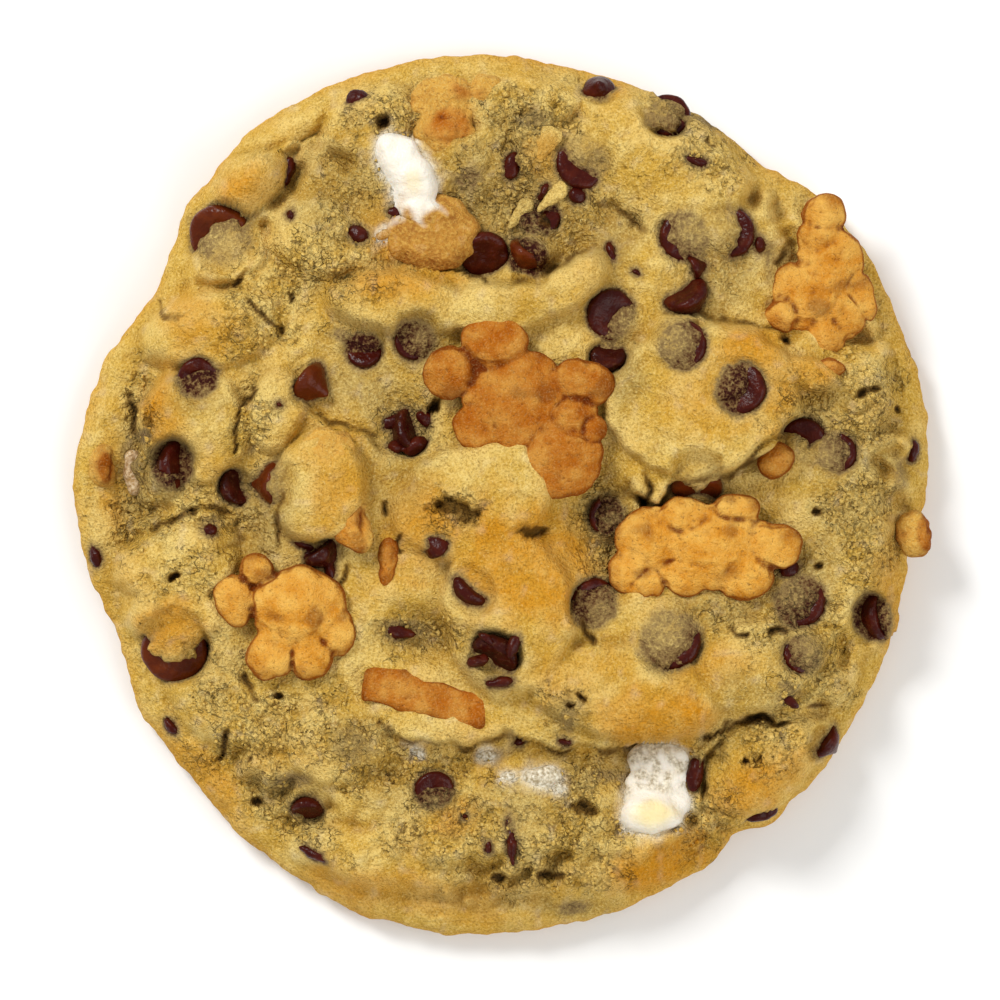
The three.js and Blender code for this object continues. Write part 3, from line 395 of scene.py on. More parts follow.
BEARS: dict[str, Bear] = {
    "biscuit_centre": Bear((
        Lobe((1.6, 11.2), (6.4, 6.0, 2.1)),
        Lobe((-1, 17.8), (4.0, 3.5, 2.0), 0.3),
        Lobe((-6.2, 14.4), (3.3, 3.1, 1.9), 0.2, 30),
        Lobe((9.3, 13.2), (3.7, 2.8, 1.9), 0.1, -10),
        Lobe((-3, 8), (3.0, 2.8, 1.7), -0.2),
        Lobe((6.9, 4.5), (4.9, 4.8, 2.3), 0.3),
        Lobe((5.3, 4.3), (1.8, 1.7, 1.2), 1.55),
        Lobe((8.4, 4.9), (1.7, 1.6, 1.2), 1.5),
        Lobe((10.4, 8), (1.6, 1.6, 1.5), 0.1),
        Lobe((8.2, 9.2), (2.8, 2.6, 1.8), 0.1),
    ), (0.03, 0.02), 1.0),
    "biscuit_right": Bear((
        Lobe((24.2, -5.9), (6.5, 5.2, 2.5), 0.3, -8),
        Lobe((17.6, -5.4), (4.6, 4.3, 2.2), 0.1),
        Lobe((15, -8.8), (2.6, 3.2, 1.8)),
        Lobe((16.3, -10.4), (2.8, 2.2, 1.8), 0.1),
        Lobe((26.8, -1.9), (2.9, 2.0, 1.8), 0.4, -8),
        Lobe((31, -5.8), (3.6, 3.0, 2.0), 0.1, -15),
        Lobe((28.4, -9.4), (3.4, 3.0, 2.0), 0.1, 15),
        Lobe((20.6, -2.8), (4.4, 2.4, 2.0), 0.3, 12),
        Lobe((21.6, -8.8), (4.4, 2.8, 1.9), 0.2),
    ), (0.02, 0.06), 0.05),
    "biscuit_left": Bear((
        Lobe((-23.8, -13.2), (5.6, 5.4, 2.7), 0.4),
        Lobe((-28.9, -8.5), (2.3, 2.1, 1.7), 0.2),
        Lobe((-31.4, -12), (2.6, 3.1, 1.8), 0.1, 20),
        Lobe((-27, -18.4), (3.0, 3.2, 1.9), 0.1),
        Lobe((-22.2, -18.3), (2.8, 2.9, 1.9), 0.1),
        Lobe((-19.9, -15.6), (2.6, 3.1, 1.9)),
    ), (0.04, 0), 0.1),
    "biscuit_upper_right": Bear((
        Lobe((38.4, 27.6), (3.9, 4.8, 2.2), 0.2, 15),
        Lobe((37.8, 32.6), (2.7, 2.7, 2.0), 0.1),
        Lobe((36.2, 23.2), (4.9, 4.2, 2.3), 0.2),
        Lobe((32.9, 21.4), (2.2, 2.3, 1.8)),
        Lobe((37.7, 19.4), (3.0, 2.4, 1.9)),
        Lobe((42, 23.6), (2.0, 3.0, 1.8), 0, 15),
        Lobe((37.3, 30), (3.0, 3.0, 2.1), 0.1),
        Lobe((39.8, 21.4), (2.8, 3.0, 2.0), 0.1),
    ), (-0.16, -0.04), 0.25),
    "biscuit_top": Bear((
        Lobe((-6.5, 46), (4.8, 3.7, 2.2)),
        Lobe((-6.6, 42.6), (3.9, 3.6, 2.5), 0.4),
        Lobe((-2.2, 47), (2.6, 2.4, 1.8)),
    ), (0, -0.12), 1.0, 0.9, Oval((-6.2, 43.3), (2.2, 2.1))),
    "biscuit_mound": Bear((
        Lobe((-17.6, -3.2), (2.1, 3.7, 2.2), 0, 12),
        Lobe((-19.4, 0.9), (2.8, 3, 2)),
        Lobe((-20.5, 4.6), (3.2, 3.2, 2.4), 0.2),
    ), (0, 0), 0.5, 0.9, Oval((-17.8, -4.2), (2, 3.4))),
    "biscuit_bit_right": Bear((Lobe((31.8, 4), (2.4, 2.3, 2.3)),), (0, 0), 0.8),
    "biscuit_bit_upper": Bear((Lobe((38, 15), (1.9, 1.2, 2.2)),), (0, 0), 0.7),
    "biscuit_bit_inner": Bear((Lobe((-13.4, -8.2), (1.3, 3.1, 2.3)),), (0, 0), 0.9),
    "biscuit_bit_edge": Bear(
        (Lobe((48.4, -4.3), (1.9, 2.7, 2.4), 0, 15),), (0, 0), 0.8, 0.9, Oval((49.8, -4.4), (1.2, 2.2))
    ),
    "biscuit_bit_tab": Bear(
        (Lobe((-47, 3.5), (1.5, 2.6, 2.3)),), (0, 0), 0.8, 0.9, Oval((-46.8, 3.3), (0.8, 1.8))
    ),
}


# ---------------------------------------------------------------- mesh and noise helpers

def grain(x: Array, y: Array, cell: float, seed: int) -> Array:
    """Smooth gradient noise.

    Args:
        x: Places along the first axis, in millimetres.
        y: Places along the second axis.
        cell: Size of one cell of the noise.
        seed: Which noise.

    Returns:
        Values from about -1 to 1.
    """
    turns = np.random.default_rng(seed).uniform(0, 2 * np.pi, (256, 256))
    gx, gy = x / cell, y / cell
    ix, iy = np.floor(gx).astype(int), np.floor(gy).astype(int)
    fx, fy = gx - ix, gy - iy

    def corner(dx: int, dy: int) -> Array:
        """The slope of one corner of the cell, carried to the place."""
        turn = turns[(ix + dx) & 255, (iy + dy) & 255]
        return np.cos(turn) * (fx - dx) + np.sin(turn) * (fy - dy)

    u = fx**3 * (fx * (fx * 6 - 15) + 10)
    v = fy**3 * (fy * (fy * 6 - 15) + 10)
    low = corner(0, 0) * (1 - u) + corner(1, 0) * u
    high = corner(0, 1) * (1 - u) + corner(1, 1) * u
    return 1.5 * (low * (1 - v) + high * v)


def worley(x: Array, y: Array, cell: float, seed: int) -> tuple[Array, Array]:
    """Scattered cells.

    Args:
        x: Places along the first axis, in millimetres.
        y: Places along the second axis.
        cell: Size of a cell.
        seed: Which cells.

    Returns:
        How far inside its cell each place lies, in millimetres from the nearest edge, and the cell's
        own value from 0 to 1.
    """
    jitter = np.random.default_rng(seed).uniform(0, 1, (256, 256, 3))
    gx, gy = x / cell, y / cell
    ix, iy = np.floor(gx).astype(int), np.floor(gy).astype(int)
    nearest, second = np.full(x.shape, 9.0), np.full(x.shape, 9.0)
    value = np.zeros(x.shape)
    for dx in (-1, 0, 1):
        for dy in (-1, 0, 1):
            px, py, own = jitter[(ix + dx) & 255, (iy + dy) & 255].T
            away = np.hypot(ix + dx + px - gx, iy + dy + py - gy)
            second = np.minimum(second, np.maximum(nearest, away))
            value = np.where(away < nearest, own, value)
            nearest = np.minimum(nearest, away)
    return (second - nearest) * cell / 2, value


def grain3(places: Array, cell: float, seed: int) -> Array:
    """Noise on a solid's skin, as the mean of the noise in its three planes."""
    x, y, z = places.T
    return (grain(x, y, cell, seed) + grain(y, z, cell, seed + 1) + grain(z, x, cell, seed + 2)) / 1.8


@dataclass(frozen=True)
class Layer:
    """One layer of noise: its height, the size of its cells in millimetres and its seed."""

    height: float
    cell: float
    seed: int


def layers(x: Array, y: Array, *parts: Layer) -> Array:
    """The sum of some layers of noise at places on a plane."""
    return sum(part.height * grain(x, y, part.cell, part.seed) for part in parts)


def layers3(places: Array, seed: int, *parts: Layer) -> Array:
    """The sum of some layers of noise on a solid's skin, their seeds counted from one seed."""
    return sum(part.height * grain3(places, part.cell, seed + part.seed) for part in parts)


def roughen(mesh: bpy.types.Mesh, push: Array) -> None:
    """Pushes each vertex of a mesh out along its normal, in millimetres."""
    set_places(mesh, places_of(mesh) + normals_of(mesh) * push[:, None])


def smooth(t: Array) -> Array:
    """Smooth step from 0 to 1."""
    t = np.clip(t, 0, 1)
    return t * t * (3 - 2 * t)


def oval_distance(x: Array, y: Array, oval: Oval | Swell) -> Array:
    """Distance from an oval's middle, 1 on its edge.

    Args:
        x: Places along X.
        y: Places along Y.
        oval: The oval.

    Returns:
        Distances, 1 on the oval's edge.
    """
    c, s = np.cos(np.radians(oval.turn)), np.sin(np.radians(oval.turn))
    dx, dy = x - oval.at[0], y - oval.at[1]
    return np.hypot((c * dx + s * dy) / oval.half[0], (c * dy - s * dx) / oval.half[1])


def path_distance(x: Array, y: Array, path: tuple[Pair, ...]) -> tuple[Array, Array, Array]:
    """Distance from a path.

    Args:
        x: Places along X.
        y: Places along Y.
        path: The path's points.

    Returns:
        The distance, the side (1 on the left, -1 on the right) and the share of the path at the
        nearest point.
    """
    best = np.full(x.shape, 1e9)
    side = np.ones(x.shape)
    share = np.zeros(x.shape)
    for i, ((ax, ay), (bx, by)) in enumerate(zip(path, path[1:])):
        dx, dy = bx - ax, by - ay
        t = np.clip(((x - ax) * dx + (y - ay) * dy) / (dx * dx + dy * dy), 0, 1)
        ox, oy = x - ax - t * dx, y - ay - t * dy
        distance = np.hypot(ox, oy)
        closer = distance < best
        best = np.where(closer, distance, best)
        side = np.where(closer, np.sign(dx * oy - dy * ox), side)
        share = np.where(closer, (i + t) / (len(path) - 1), share)
    return best, side, share


def near_box(x: Array, y: Array, points: tuple[Pair, ...], reach: float) -> Array:
    """Indices of the places within reach of the box round some points.

    Args:
        x: Places along X.
        y: Places along Y.
        points: The points.
        reach: How far past their box.

    Returns:
        Indices.
    """
    px, py = np.array(points).T
    inside = (x > px.min() - reach) & (x < px.max() + reach) & (y > py.min() - reach) & (y < py.max() + reach)
    return np.nonzero(inside)[0]


def tree_of(pieces: list[bpy.types.Object]) -> BVHTree:
    """One search tree of several pieces' faces, in metres.

    Args:
        pieces: The pieces.

    Returns:
        The tree.
    """
    corners: list[Vector] = []
    faces: list[tuple[int, ...]] = []
    for piece in pieces:
        first = len(corners)
        corners.extend(v.co.copy() for v in piece.data.vertices)
        faces.extend(tuple(first + i for i in p.vertices) for p in piece.data.polygons)
    return BVHTree.FromPolygons(corners, faces)


def dent(mesh: bpy.types.Mesh, rounds: int) -> Array:
    """How far each vertex lies below the blurred mesh, in millimetres; negative on a bump.

    Args:
        mesh: The mesh.
        rounds: How many times the copy is blurred.

    Returns:
        Depths at the vertices.
    """
    places = places_of(mesh)
    soft = np.stack([blurred(mesh, axis, rounds) for axis in places.T], axis=1)
    return ((soft - places) * normals_of(mesh)).sum(axis=1)


def gaps_to(tree: BVHTree, places: Array, reach: float) -> Array:
    """Distances in millimetres from places to the nearest face of the pieces, at most reach.

    Args:
        tree: Search tree of the pieces.
        places: Places in millimetres, one row each.
        reach: The longest distance that counts.

    Returns:
        Distances.
    """
    gaps = np.full(len(places), reach)
    for i, place in enumerate(places):
        away = tree.find_nearest(Vector(place) * MM, reach * MM)[3]
        if away is not None:
            gaps[i] = away / MM
    return gaps


def places_of(mesh: bpy.types.Mesh) -> Array:
    """A mesh's vertices in millimetres, one row each.

    Args:
        mesh: The mesh.

    Returns:
        The places.
    """
    flat = np.empty(len(mesh.vertices) * 3)
    mesh.vertices.foreach_get("co", flat)
    return flat.reshape(-1, 3) / MM


def normals_of(mesh: bpy.types.Mesh) -> Array:
    """A mesh's vertex normals, one row each.

    Args:
        mesh: The mesh.

    Returns:
        The normals.
    """
    flat = np.empty(len(mesh.vertices) * 3)
    mesh.vertex_normals.foreach_get("vector", flat)
    return flat.reshape(-1, 3)


def blurred(mesh: bpy.types.Mesh, values: Array, rounds: int) -> Array:
    """Values at a mesh's vertices, each averaged with its neighbours so many times.

    Args:
        mesh: The mesh.
        values: One value for each vertex.
        rounds: How many times.

    Returns:
        The averaged values.
    """
    ends = np.empty(len(mesh.edges) * 2, dtype=np.int32)
    mesh.edges.foreach_get("vertices", ends)
    a, b = ends.reshape(-1, 2).T
    count = np.bincount(ends, minlength=len(values))
    for _ in range(rounds):
        total = np.bincount(a, values[b], len(values)) + np.bincount(b, values[a], len(values))
        values = (values + total / count) / 2
    return values


def set_places(mesh: bpy.types.Mesh, places: Array) -> None:
    """Moves a mesh's vertices to these places, in millimetres."""
    mesh.vertices.foreach_set("co", (places * MM).astype(np.float32).ravel())
    mesh.update()


def paint(mesh: bpy.types.Mesh, name: str, values: Array) -> None:
    """Stores one value for each vertex as an attribute that materials read."""
    attribute = mesh.attributes.new(name, "FLOAT", "POINT")
    attribute.data.foreach_set("value", np.clip(values, 0, 1).astype(np.float32))


def mesh_of(name: str, shape: bmesh.types.BMesh) -> bpy.types.Object:
    """Turns a bmesh into a smooth-shaded object at the origin.

    Args:
        name: Its name.
        shape: The bmesh, which it frees.

    Returns:
        The object.
    """
    mesh = bpy.data.meshes.new(name)
    shape.to_mesh(mesh)
    shape.free()
    mesh.shade_smooth()
    piece = bpy.data.objects.new(name, mesh)
    bpy.context.collection.objects.link(piece)
    return piece


def dress(piece: bpy.types.Object, material: bpy.types.Material, slot: str, *nodes: str) -> None:
    """Gives a piece its material and its body, logs its slot, and hides the CAD nodes that it stands for.

    Args:
        piece: The piece.
        material: Its material.
        slot: Its slot, which is only logged.
        nodes: The CAD nodes, if it stands for any.
    """
    piece.data.materials.append(material)
    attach(piece, "root")
    if nodes:
        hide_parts(*nodes)
    log.info("%s: %d faces, %s", piece.name, len(piece.data.polygons), slot)


# ---------------------------------------------------------------- finishes

def linear(hex_code: str) -> tuple[float, float, float, float]:
    """An sRGB hex colour as linear values, with alpha 1.

    Args:
        hex_code: The colour as #rrggbb.

    Returns:
        Red, green, blue and alpha.
    """
    values = [int(hex_code[i:i + 2], 16) / 255 for i in (1, 3, 5)]
    # The curve of the sRGB standard: straight near black, a power above it.
    red, green, blue = (v / 12.92 if v <= 0.04045 else ((v + 0.055) / 1.055) ** 2.4 for v in values)
    return red, green, blue, 1.0


def add_node(tree: bpy.types.NodeTree, kind: str, settings: dict[str, Any], inputs: dict[Any, Any]) -> Any:
    """Adds a node to a tree.

    Args:
        tree: The tree of the material.
        kind: Type of node, without its ShaderNode prefix.
        settings: Properties of the node.
        inputs: For each input, a value or the output that is linked to it.

    Returns:
        The node.
    """
    node = tree.nodes.new("ShaderNode" + kind)
    for name, value in settings.items():
        setattr(node, name, value)
    for name, value in inputs.items():
        if isinstance(value, bpy.types.NodeSocket):
            tree.links.new(value, node.inputs[name])
        else:
            node.inputs[name].default_value = value
    return node


class Palette:
    """Builds one material's tree: patterns on object coordinates, attributes and mixes."""

    def __init__(self, name: str) -> None:
        """Starts an empty material.

        Args:
            name: Name of the material.
        """
        self.material = bpy.data.materials.new(name)
        self.material.use_nodes = True
        self.tree = self.material.node_tree
        self.tree.nodes.clear()
        self.place = add_node(self.tree, "TexCoord", {}, {}).outputs["Object"]

    def attribute(self, name: str) -> Any:
        """The value that the mesh holds under this name."""
        return add_node(self.tree, "Attribute", {"attribute_name": name}, {}).outputs["Fac"]

    def noise(self, cell_mm: float, detail: float = 3.0, rough: float = 0.55) -> Any:
        """Noise whose cells measure cell_mm."""
        inputs = {"Vector": self.place, "Scale": 1 / (cell_mm * MM), "Detail": detail, "Roughness": rough}
        return add_node(self.tree, "TexNoise", {}, inputs).outputs["Fac"]

    def bend(self, cell_mm: float, by_mm: float) -> Any:
        """Object coordinates bent by noise, so that what is laid on them meanders.

        Args:
            cell_mm: Size of the noise's cells.
            by_mm: How far it pushes.

        Returns:
            The bent coordinates.
        """
        inputs = {"Vector": self.place, "Scale": 1 / (cell_mm * MM), "Detail": 1.0}
        push = add_node(self.tree, "TexNoise", {}, inputs).outputs["Color"]
        scaled = add_node(self.tree, "VectorMath", {"operation": "SCALE"}, {0: push, "Scale": by_mm * MM})
        return add_node(self.tree, "VectorMath", {}, {0: self.place, 1: scaled.outputs[0]}).outputs[0]

    def voronoi(self, cell_mm: float, place: Any) -> Any:
        """Distance, in cells of this size, from the middle of a cell."""
        inputs = {"Vector": place, "Scale": 1 / (cell_mm * MM)}
        return add_node(self.tree, "TexVoronoi", {}, inputs).outputs["Distance"]

    def remap(self, value: Any, low: float, high: float, to_low: float = 0.0, to_high: float = 1.0) -> Any:
        """A value stretched from one range to another, and held inside it."""
        inputs = {"Value": value, "From Min": low, "From Max": high, "To Min": to_low, "To Max": to_high}
        return add_node(self.tree, "MapRange", {"clamp": True}, inputs).outputs["Result"]

    def math(self, operation: str, a: Any, b: Any, c: Any = 0.0) -> Any:
        """One sum, product or other step."""
        return add_node(self.tree, "Math", {"operation": operation}, {0: a, 1: b, 2: c}).outputs["Value"]

    def mix(self, share: Any, under: Any, over: Any) -> Any:
        """Two colours mixed, from under at 0 to over at 1; a colour may be an sRGB hex value.

        Args:
            share: How much of over.
            under: The first colour.
            over: The second colour.

        Returns:
            The mixed colour.
        """
        under = linear(under) if isinstance(under, str) else under
        over = linear(over) if isinstance(over, str) else over
        settings = {"data_type": "RGBA", "blend_type": "MIX", "clamp_factor": True}
        return add_node(self.tree, "Mix", settings, {0: share, 6: under, 7: over}).outputs[2]

    def bump(self, *heights: tuple[Any, float]) -> Any:
        """Fine relief: the sum of some patterns, each with its height in millimetres.

        Args:
            heights: Each pattern with its height.

        Returns:
            The normal.
        """
        total: Any = 0.0
        for pattern, height_mm in heights:
            total = self.math("MULTIPLY_ADD", pattern, height_mm, total)
        return add_node(self.tree, "Bump", {}, {"Height": total, "Distance": MM}).outputs["Normal"]

    def finish(self, shader: dict[str, Any]) -> bpy.types.Material:
        """Ends the tree with the surface shader.

        Args:
            shader: Inputs of the surface shader.

        Returns:
            The material.
        """
        surface = add_node(self.tree, "BsdfPrincipled", {}, shader)
        add_node(self.tree, "OutputMaterial", {}, {"Surface": surface.outputs["BSDF"]})
        return self.material


@dataclass(frozen=True)
class DoughFinish:
    """Soft-baked cookie dough: a matt, oily crumb of flour and sugar, browned where it stood high."""

    straw: str = "#d3a946"
    pale: str = "#e6c672"
    gold: str = "#cf8a12"
    grey: str = "#9b8045"
    shadow: str = "#9b6a1a"
    film: str = "#957b4b"
    soaked: str = "#5d3d24"
    chocolate: str = "#36130d"
    fat: str = "#8e621a"
    sugar: str = "#f3da90"
    # The two colours below are painted shade: brown for gaps, cracks, pores and the feet of lips, near black
    # for the deepest.
    crevice_shade: str = "#5e3d12"
    pit: str = "#1d1206"
    milky: str = "#ebe2cc"

    def build(self) -> bpy.types.Material:
        """Builds the dough's material, from its colour grains down to the stains of chocolate.

        Returns:
            The material.
        """
        p = Palette("baked_cookie_dough")
        sand = p.noise(0.3, 2, 0.65)
        pepper = p.noise(0.65, 2, 0.6)
        rough = p.attribute("rough")
        # Paler in random clouds, and paler on bumps as painted light.
        colour = p.mix(p.attribute("pale"), self.straw, self.pale)
        golden = p.math("MULTIPLY", p.attribute("golden"), p.remap(pepper, 0.3, 0.7, 1.15, 0.8))
        colour = p.mix(golden, colour, self.gold)
        greyed = p.math("MULTIPLY", p.attribute("greyed"), p.remap(pepper, 0.3, 0.7, 1.0, 0.5))
        colour = p.mix(greyed, colour, self.grey)
        # Painted shade in the hollows of the relief, broad and fine.
        colour = p.mix(p.math("MULTIPLY", p.attribute("hollow"), 0.36), colour, self.shadow)
        # Sugar and flour grains, paler than the fat between them.
        colour = p.mix(p.remap(sand, 0.3, 0.5, 0.55, 0.0), colour, self.fat)
        sugar = p.math("SUBTRACT", p.remap(sand, 0.52, 0.72, 0.0, 0.5), p.math("MULTIPLY", golden, 0.25))
        colour = p.mix(sugar, colour, self.sugar)
        # Crumb that tore open: loose grains with gaps between them, fine cracks and pores, all sunk by the
        # bump and darkened by painted shade.
        bent = p.bend(0.7, 0.8)
        grains = p.remap(p.voronoi(0.8, bent), 0.35, 0.8)
        between = p.math("MULTIPLY", grains, rough)
        wander = p.math("ABSOLUTE", p.math("SUBTRACT", p.noise(3.4, 3, 0.62), 0.5), 0.0)
        crack = p.math("MULTIPLY", p.remap(wander, 0.0, 0.016, 0.9, 0.0), p.attribute("broken"))
        pore = p.math("MULTIPLY", p.remap(p.noise(1.0, 2, 0.65), 0.32, 0.38, 1.0, 0.0), rough)
        dark = p.math("MAXIMUM", p.math("MULTIPLY", between, 0.2), p.math("MAXIMUM", crack, pore))
        colour = p.mix(p.math("MULTIPLY", dark, 0.7), colour, self.crevice_shade)
        # Marshmallow that ran thin over the crumb, thicker between the grains.
        melt = p.math("MULTIPLY", p.attribute("melt"), p.remap(pepper, 0.3, 0.6, 1.3, 0.7))
        colour = p.mix(melt, colour, self.milky)
        # Chocolate that soaked in round each chip, stronger between the grains.
        speck = p.math("ADD", p.remap(sand, 0.35, 0.7, -0.1, 0.15), p.remap(pepper, 0.35, 0.65, -0.12, 0.12))
        stain = p.math("MULTIPLY", p.attribute("stain"), p.math("MULTIPLY_ADD", speck, -2.2, 1.0))
        colour = p.mix(p.remap(stain, 0.0, 0.42), colour, self.film)
        colour = p.mix(p.remap(stain, 0.42, 0.78), colour, self.soaked)
        colour = p.mix(p.remap(stain, 0.78, 0.95), colour, self.chocolate)
        # Painted shade in cracks, pits and at the feet of lips: brown, then near black where deepest.
        deep = p.attribute("deep")
        colour = p.mix(p.remap(deep, 0.15, 0.6, 0, 0.8), colour, self.crevice_shade)
        colour = p.mix(p.remap(deep, 0.65, 1.0, 0, 0.85), colour, self.pit)
        relief = p.bump((between, -0.6), (crack, -0.45), (pore, -0.6), (pepper, 0.48), (sand, 0.32))
        return p.finish({"Base Color": colour, "Roughness": 0.85, "Normal": relief, "IOR": 1.45,
                         "Specular IOR Level": 0.12})


@dataclass(frozen=True)
class ChocolateFinish:
    """Chocolate that melted and set again in the oven: a dark satin skin with a greyish bloom."""

    name: str
    base: str
    light: str
    crumbled: float = 0.0
    bloom: str = "#8a5f3c"

    def build(self) -> bpy.types.Material:
        """Builds the material, streaked and with bloom in patches.

        Returns:
            The material.
        """
        p = Palette(self.name)
        streak = p.noise(1.6, 3)
        colour = p.mix(p.remap(streak, 0.45, 0.75, 0, 0.6), self.base, self.light)
        bloom = p.noise(0.5, 3)
        colour = p.mix(p.remap(bloom, 0.58, 0.78, 0, 0.16 + self.crumbled), colour, self.bloom)
        relief = p.bump((bloom, 0.08 + 0.15 * self.crumbled), (streak, 0.3))
        return p.finish({"Base Color": colour, "Roughness": 0.26, "Normal": relief, "IOR": 1.47,
                         "Specular IOR Level": 0.17})


@dataclass(frozen=True)
class BiscuitFinish:
    """Baked graham biscuit: matt wheat crumb, pale in patches and on its crests as painted light,
    orange-brown at its edges, and darker in its creases as painted shade.
    """

    tan: str = "#da922a"
    pale: str = "#efbd5c"
    warm: str = "#a65406"
    orange: str = "#8c4400"
    russet: str = "#6c2a03"
    coat: str = "#d29a30"
    flour: str = "#e3be68"
    bran: str = "#64300a"
    starch: str = "#f2cf8c"

    def build(self) -> bpy.types.Material:
        """Builds the material, with edges, scorched spots and the dough that sticks to it.

        Returns:
            The material.
        """
        p = Palette("baked_graham_biscuit")
        patch = p.noise(2.6, 4)
        crumb = p.noise(0.45, 3, 0.65)
        sand = p.noise(0.24, 2)
        colour = p.mix(p.remap(patch, 0.35, 0.65, 0, 0.8), self.tan, self.pale)
        # Painted light: paler on the fine crests.
        colour = p.mix(p.math("MULTIPLY", p.attribute("crest_light"), 0.5), colour, self.pale)
        warm = p.math("MULTIPLY", p.attribute("warmth"), p.remap(patch, 0.25, 0.65, 1.0, 0.55))
        colour = p.mix(warm, colour, self.warm)
        # Orange towards steep sides and rims, where the biscuit browned, and in valleys between lobes as
        # painted shade.
        edge = p.math("ADD", p.attribute("edge"), p.remap(patch, 0.3, 0.7, 0.2, -0.2))
        colour = p.mix(p.remap(edge, 0.1, 0.8, 0, 0.9), colour, self.orange)
        # Painted shade: russet in the fine creases between lobes.
        colour = p.mix(p.attribute("hollow"), colour, self.russet)
        colour = p.mix(p.attribute("scorch"), colour, self.russet)
        coat = p.mix(p.remap(sand, 0.35, 0.65), self.coat, self.flour)
        stuck = p.math("MULTIPLY", p.attribute("coat"), p.remap(crumb, 0.3, 0.6, 1.0, 0.75))
        colour = p.mix(stuck, colour, coat)
        # Bran specks and the pale starch between them.
        colour = p.mix(p.remap(crumb, 0.58, 0.7, 0, 0.55), colour, self.bran)
        colour = p.mix(p.remap(sand, 0.3, 0.5, 0.15, 0), colour, self.starch)
        relief = p.bump((crumb, -0.34), (sand, 0.18), (patch, 0.5))
        return p.finish({"Base Color": colour, "Roughness": 0.75, "Normal": relief, "IOR": 1.45,
                         "Specular IOR Level": 0.08})


@dataclass(frozen=True)
class MarshmallowFinish:
    """Marshmallow: whipped sugar and gelatine, melted to a satin skin, toasted matt and golden in places."""

    name: str
    roughness: float
    white: str = "#f3ecdd"
    cream: str = "#f1dfa8"
    toast: str = "#bf872c"
    brown: str = "#a2691b"
    golden: str = "#d2a248"
    grey: str = "#d8ccb2"
    sugar: str = "#9c8a66"
    crystal: str = "#efe6cf"

    def build(self) -> bpy.types.Material:
        """Builds the material, with cream, toasted and clear parts.

        Returns:
            The material.
        """
        p = Palette(self.name)
        patch = p.noise(2.0, 4)
        crumb = p.noise(0.4, 3)
        colour = p.mix(p.attribute("cream"), self.white, self.cream)
        colour = p.mix(p.remap(patch, 0.5, 0.75, 0, 0.3), colour, self.grey)
        sugar = p.mix(p.remap(crumb, 0.35, 0.65), self.sugar, self.crystal)
        colour = p.mix(p.attribute("clear"), colour, sugar)
        toast = p.math("MULTIPLY", p.attribute("toast"), p.remap(patch, 0.3, 0.65, 1.3, 0.95))
        toasted = p.mix(p.remap(patch, 0.4, 0.6), self.brown, self.toast)
        toasted = p.mix(p.remap(crumb, 0.45, 0.65, 0, 0.8), toasted, self.golden)
        colour = p.mix(toast, colour, toasted)
        grains = p.math("MULTIPLY", crumb, p.remap(toast, 0, 1, 0.3, 1.2))
        relief = p.bump((patch, 0.5), (grains, 0.4))
        return p.finish({"Base Color": colour, "Roughness": self.roughness, "Normal": relief, "IOR": 1.45,
                         "Subsurface Weight": 0.3, "Subsurface Radius": (1.6, 1.3, 1.0),
                         "Subsurface Scale": 0.001})


# ---------------------------------------------------------------- relief of the dough

# How uneven the edges of swells, tears, pits, coarse and browned parts and films are.
SWELL_EDGE = (Layer(0.06, 5.0, 11), Layer(0.05, 2.4, 12))
TORN_EDGE = (Layer(0.6, 2.6, 21), Layer(0.22, 1.1, 22))
PIT_EDGE = Layer(0.5, 0.9, 23)
ROUGH_EDGE = (Layer(0.5, 5.0, 25), Layer(0.35, 2.0, 26))
BROWN_EDGE = (Layer(0.3, 4.0, 71), Layer(0.2, 1.6, 72))
FILM_EDGE = (Layer(0.6, 1.6, 41), Layer(0.3, 0.8, 42))

# Lumps of the whole top, folds in it, and where coarse crumb cracked or stands in crags.
LUMPS = (Layer(0.34, 6.5, 31), Layer(0.3, 3.1, 32), Layer(0.18, 1.5, 33))
FOLD_LINES = Layer(1.0, 7.0, 30)
FOLD_WIDTH = 0.05
FOLD_DEPTH = 0.2
FOLDED = Layer(2.0, 5.0, 29)
BROKEN = Layer(1.8, 4.2, 37)
CRAG_BEND = Layer(0.7, 1.9, 38)
CRAG_CELL, CRAG_SEED, CRAG_HEIGHT = 2.6, 34, 1.2
CRUMB_CELL, CRUMB_SEED, CRUMB_HEIGHT = 1.3, 36, 0.3
CRAGGED = Layer(1.0, 5.2, 39)

# A lip's step, how soon it rises at the ends of its path, and the painted shade along its foot.
LIP_GAIN = 1.5
LIP_STEP = 0.45
LIP_ENDS = 8
LIP_FOOT = 0.4
LIP_SHADE = 0.8

# The film of dough over a chip: how thick at its edge, inside it and where no chocolate shows through.
FILM_STEP = 0.7
FILM_THIN = 0.1
FILM_SWELL = 0.15
FILM_THICK = 0.8
CHIP_DOME = 0.4
SPOT_REACH = 1.35

@dataclass(frozen=True)
class Seat:
    """Where a chip lies in the dough: its outline from above and the height of its top."""

    chip: Chip
    oval: Oval
    top: float


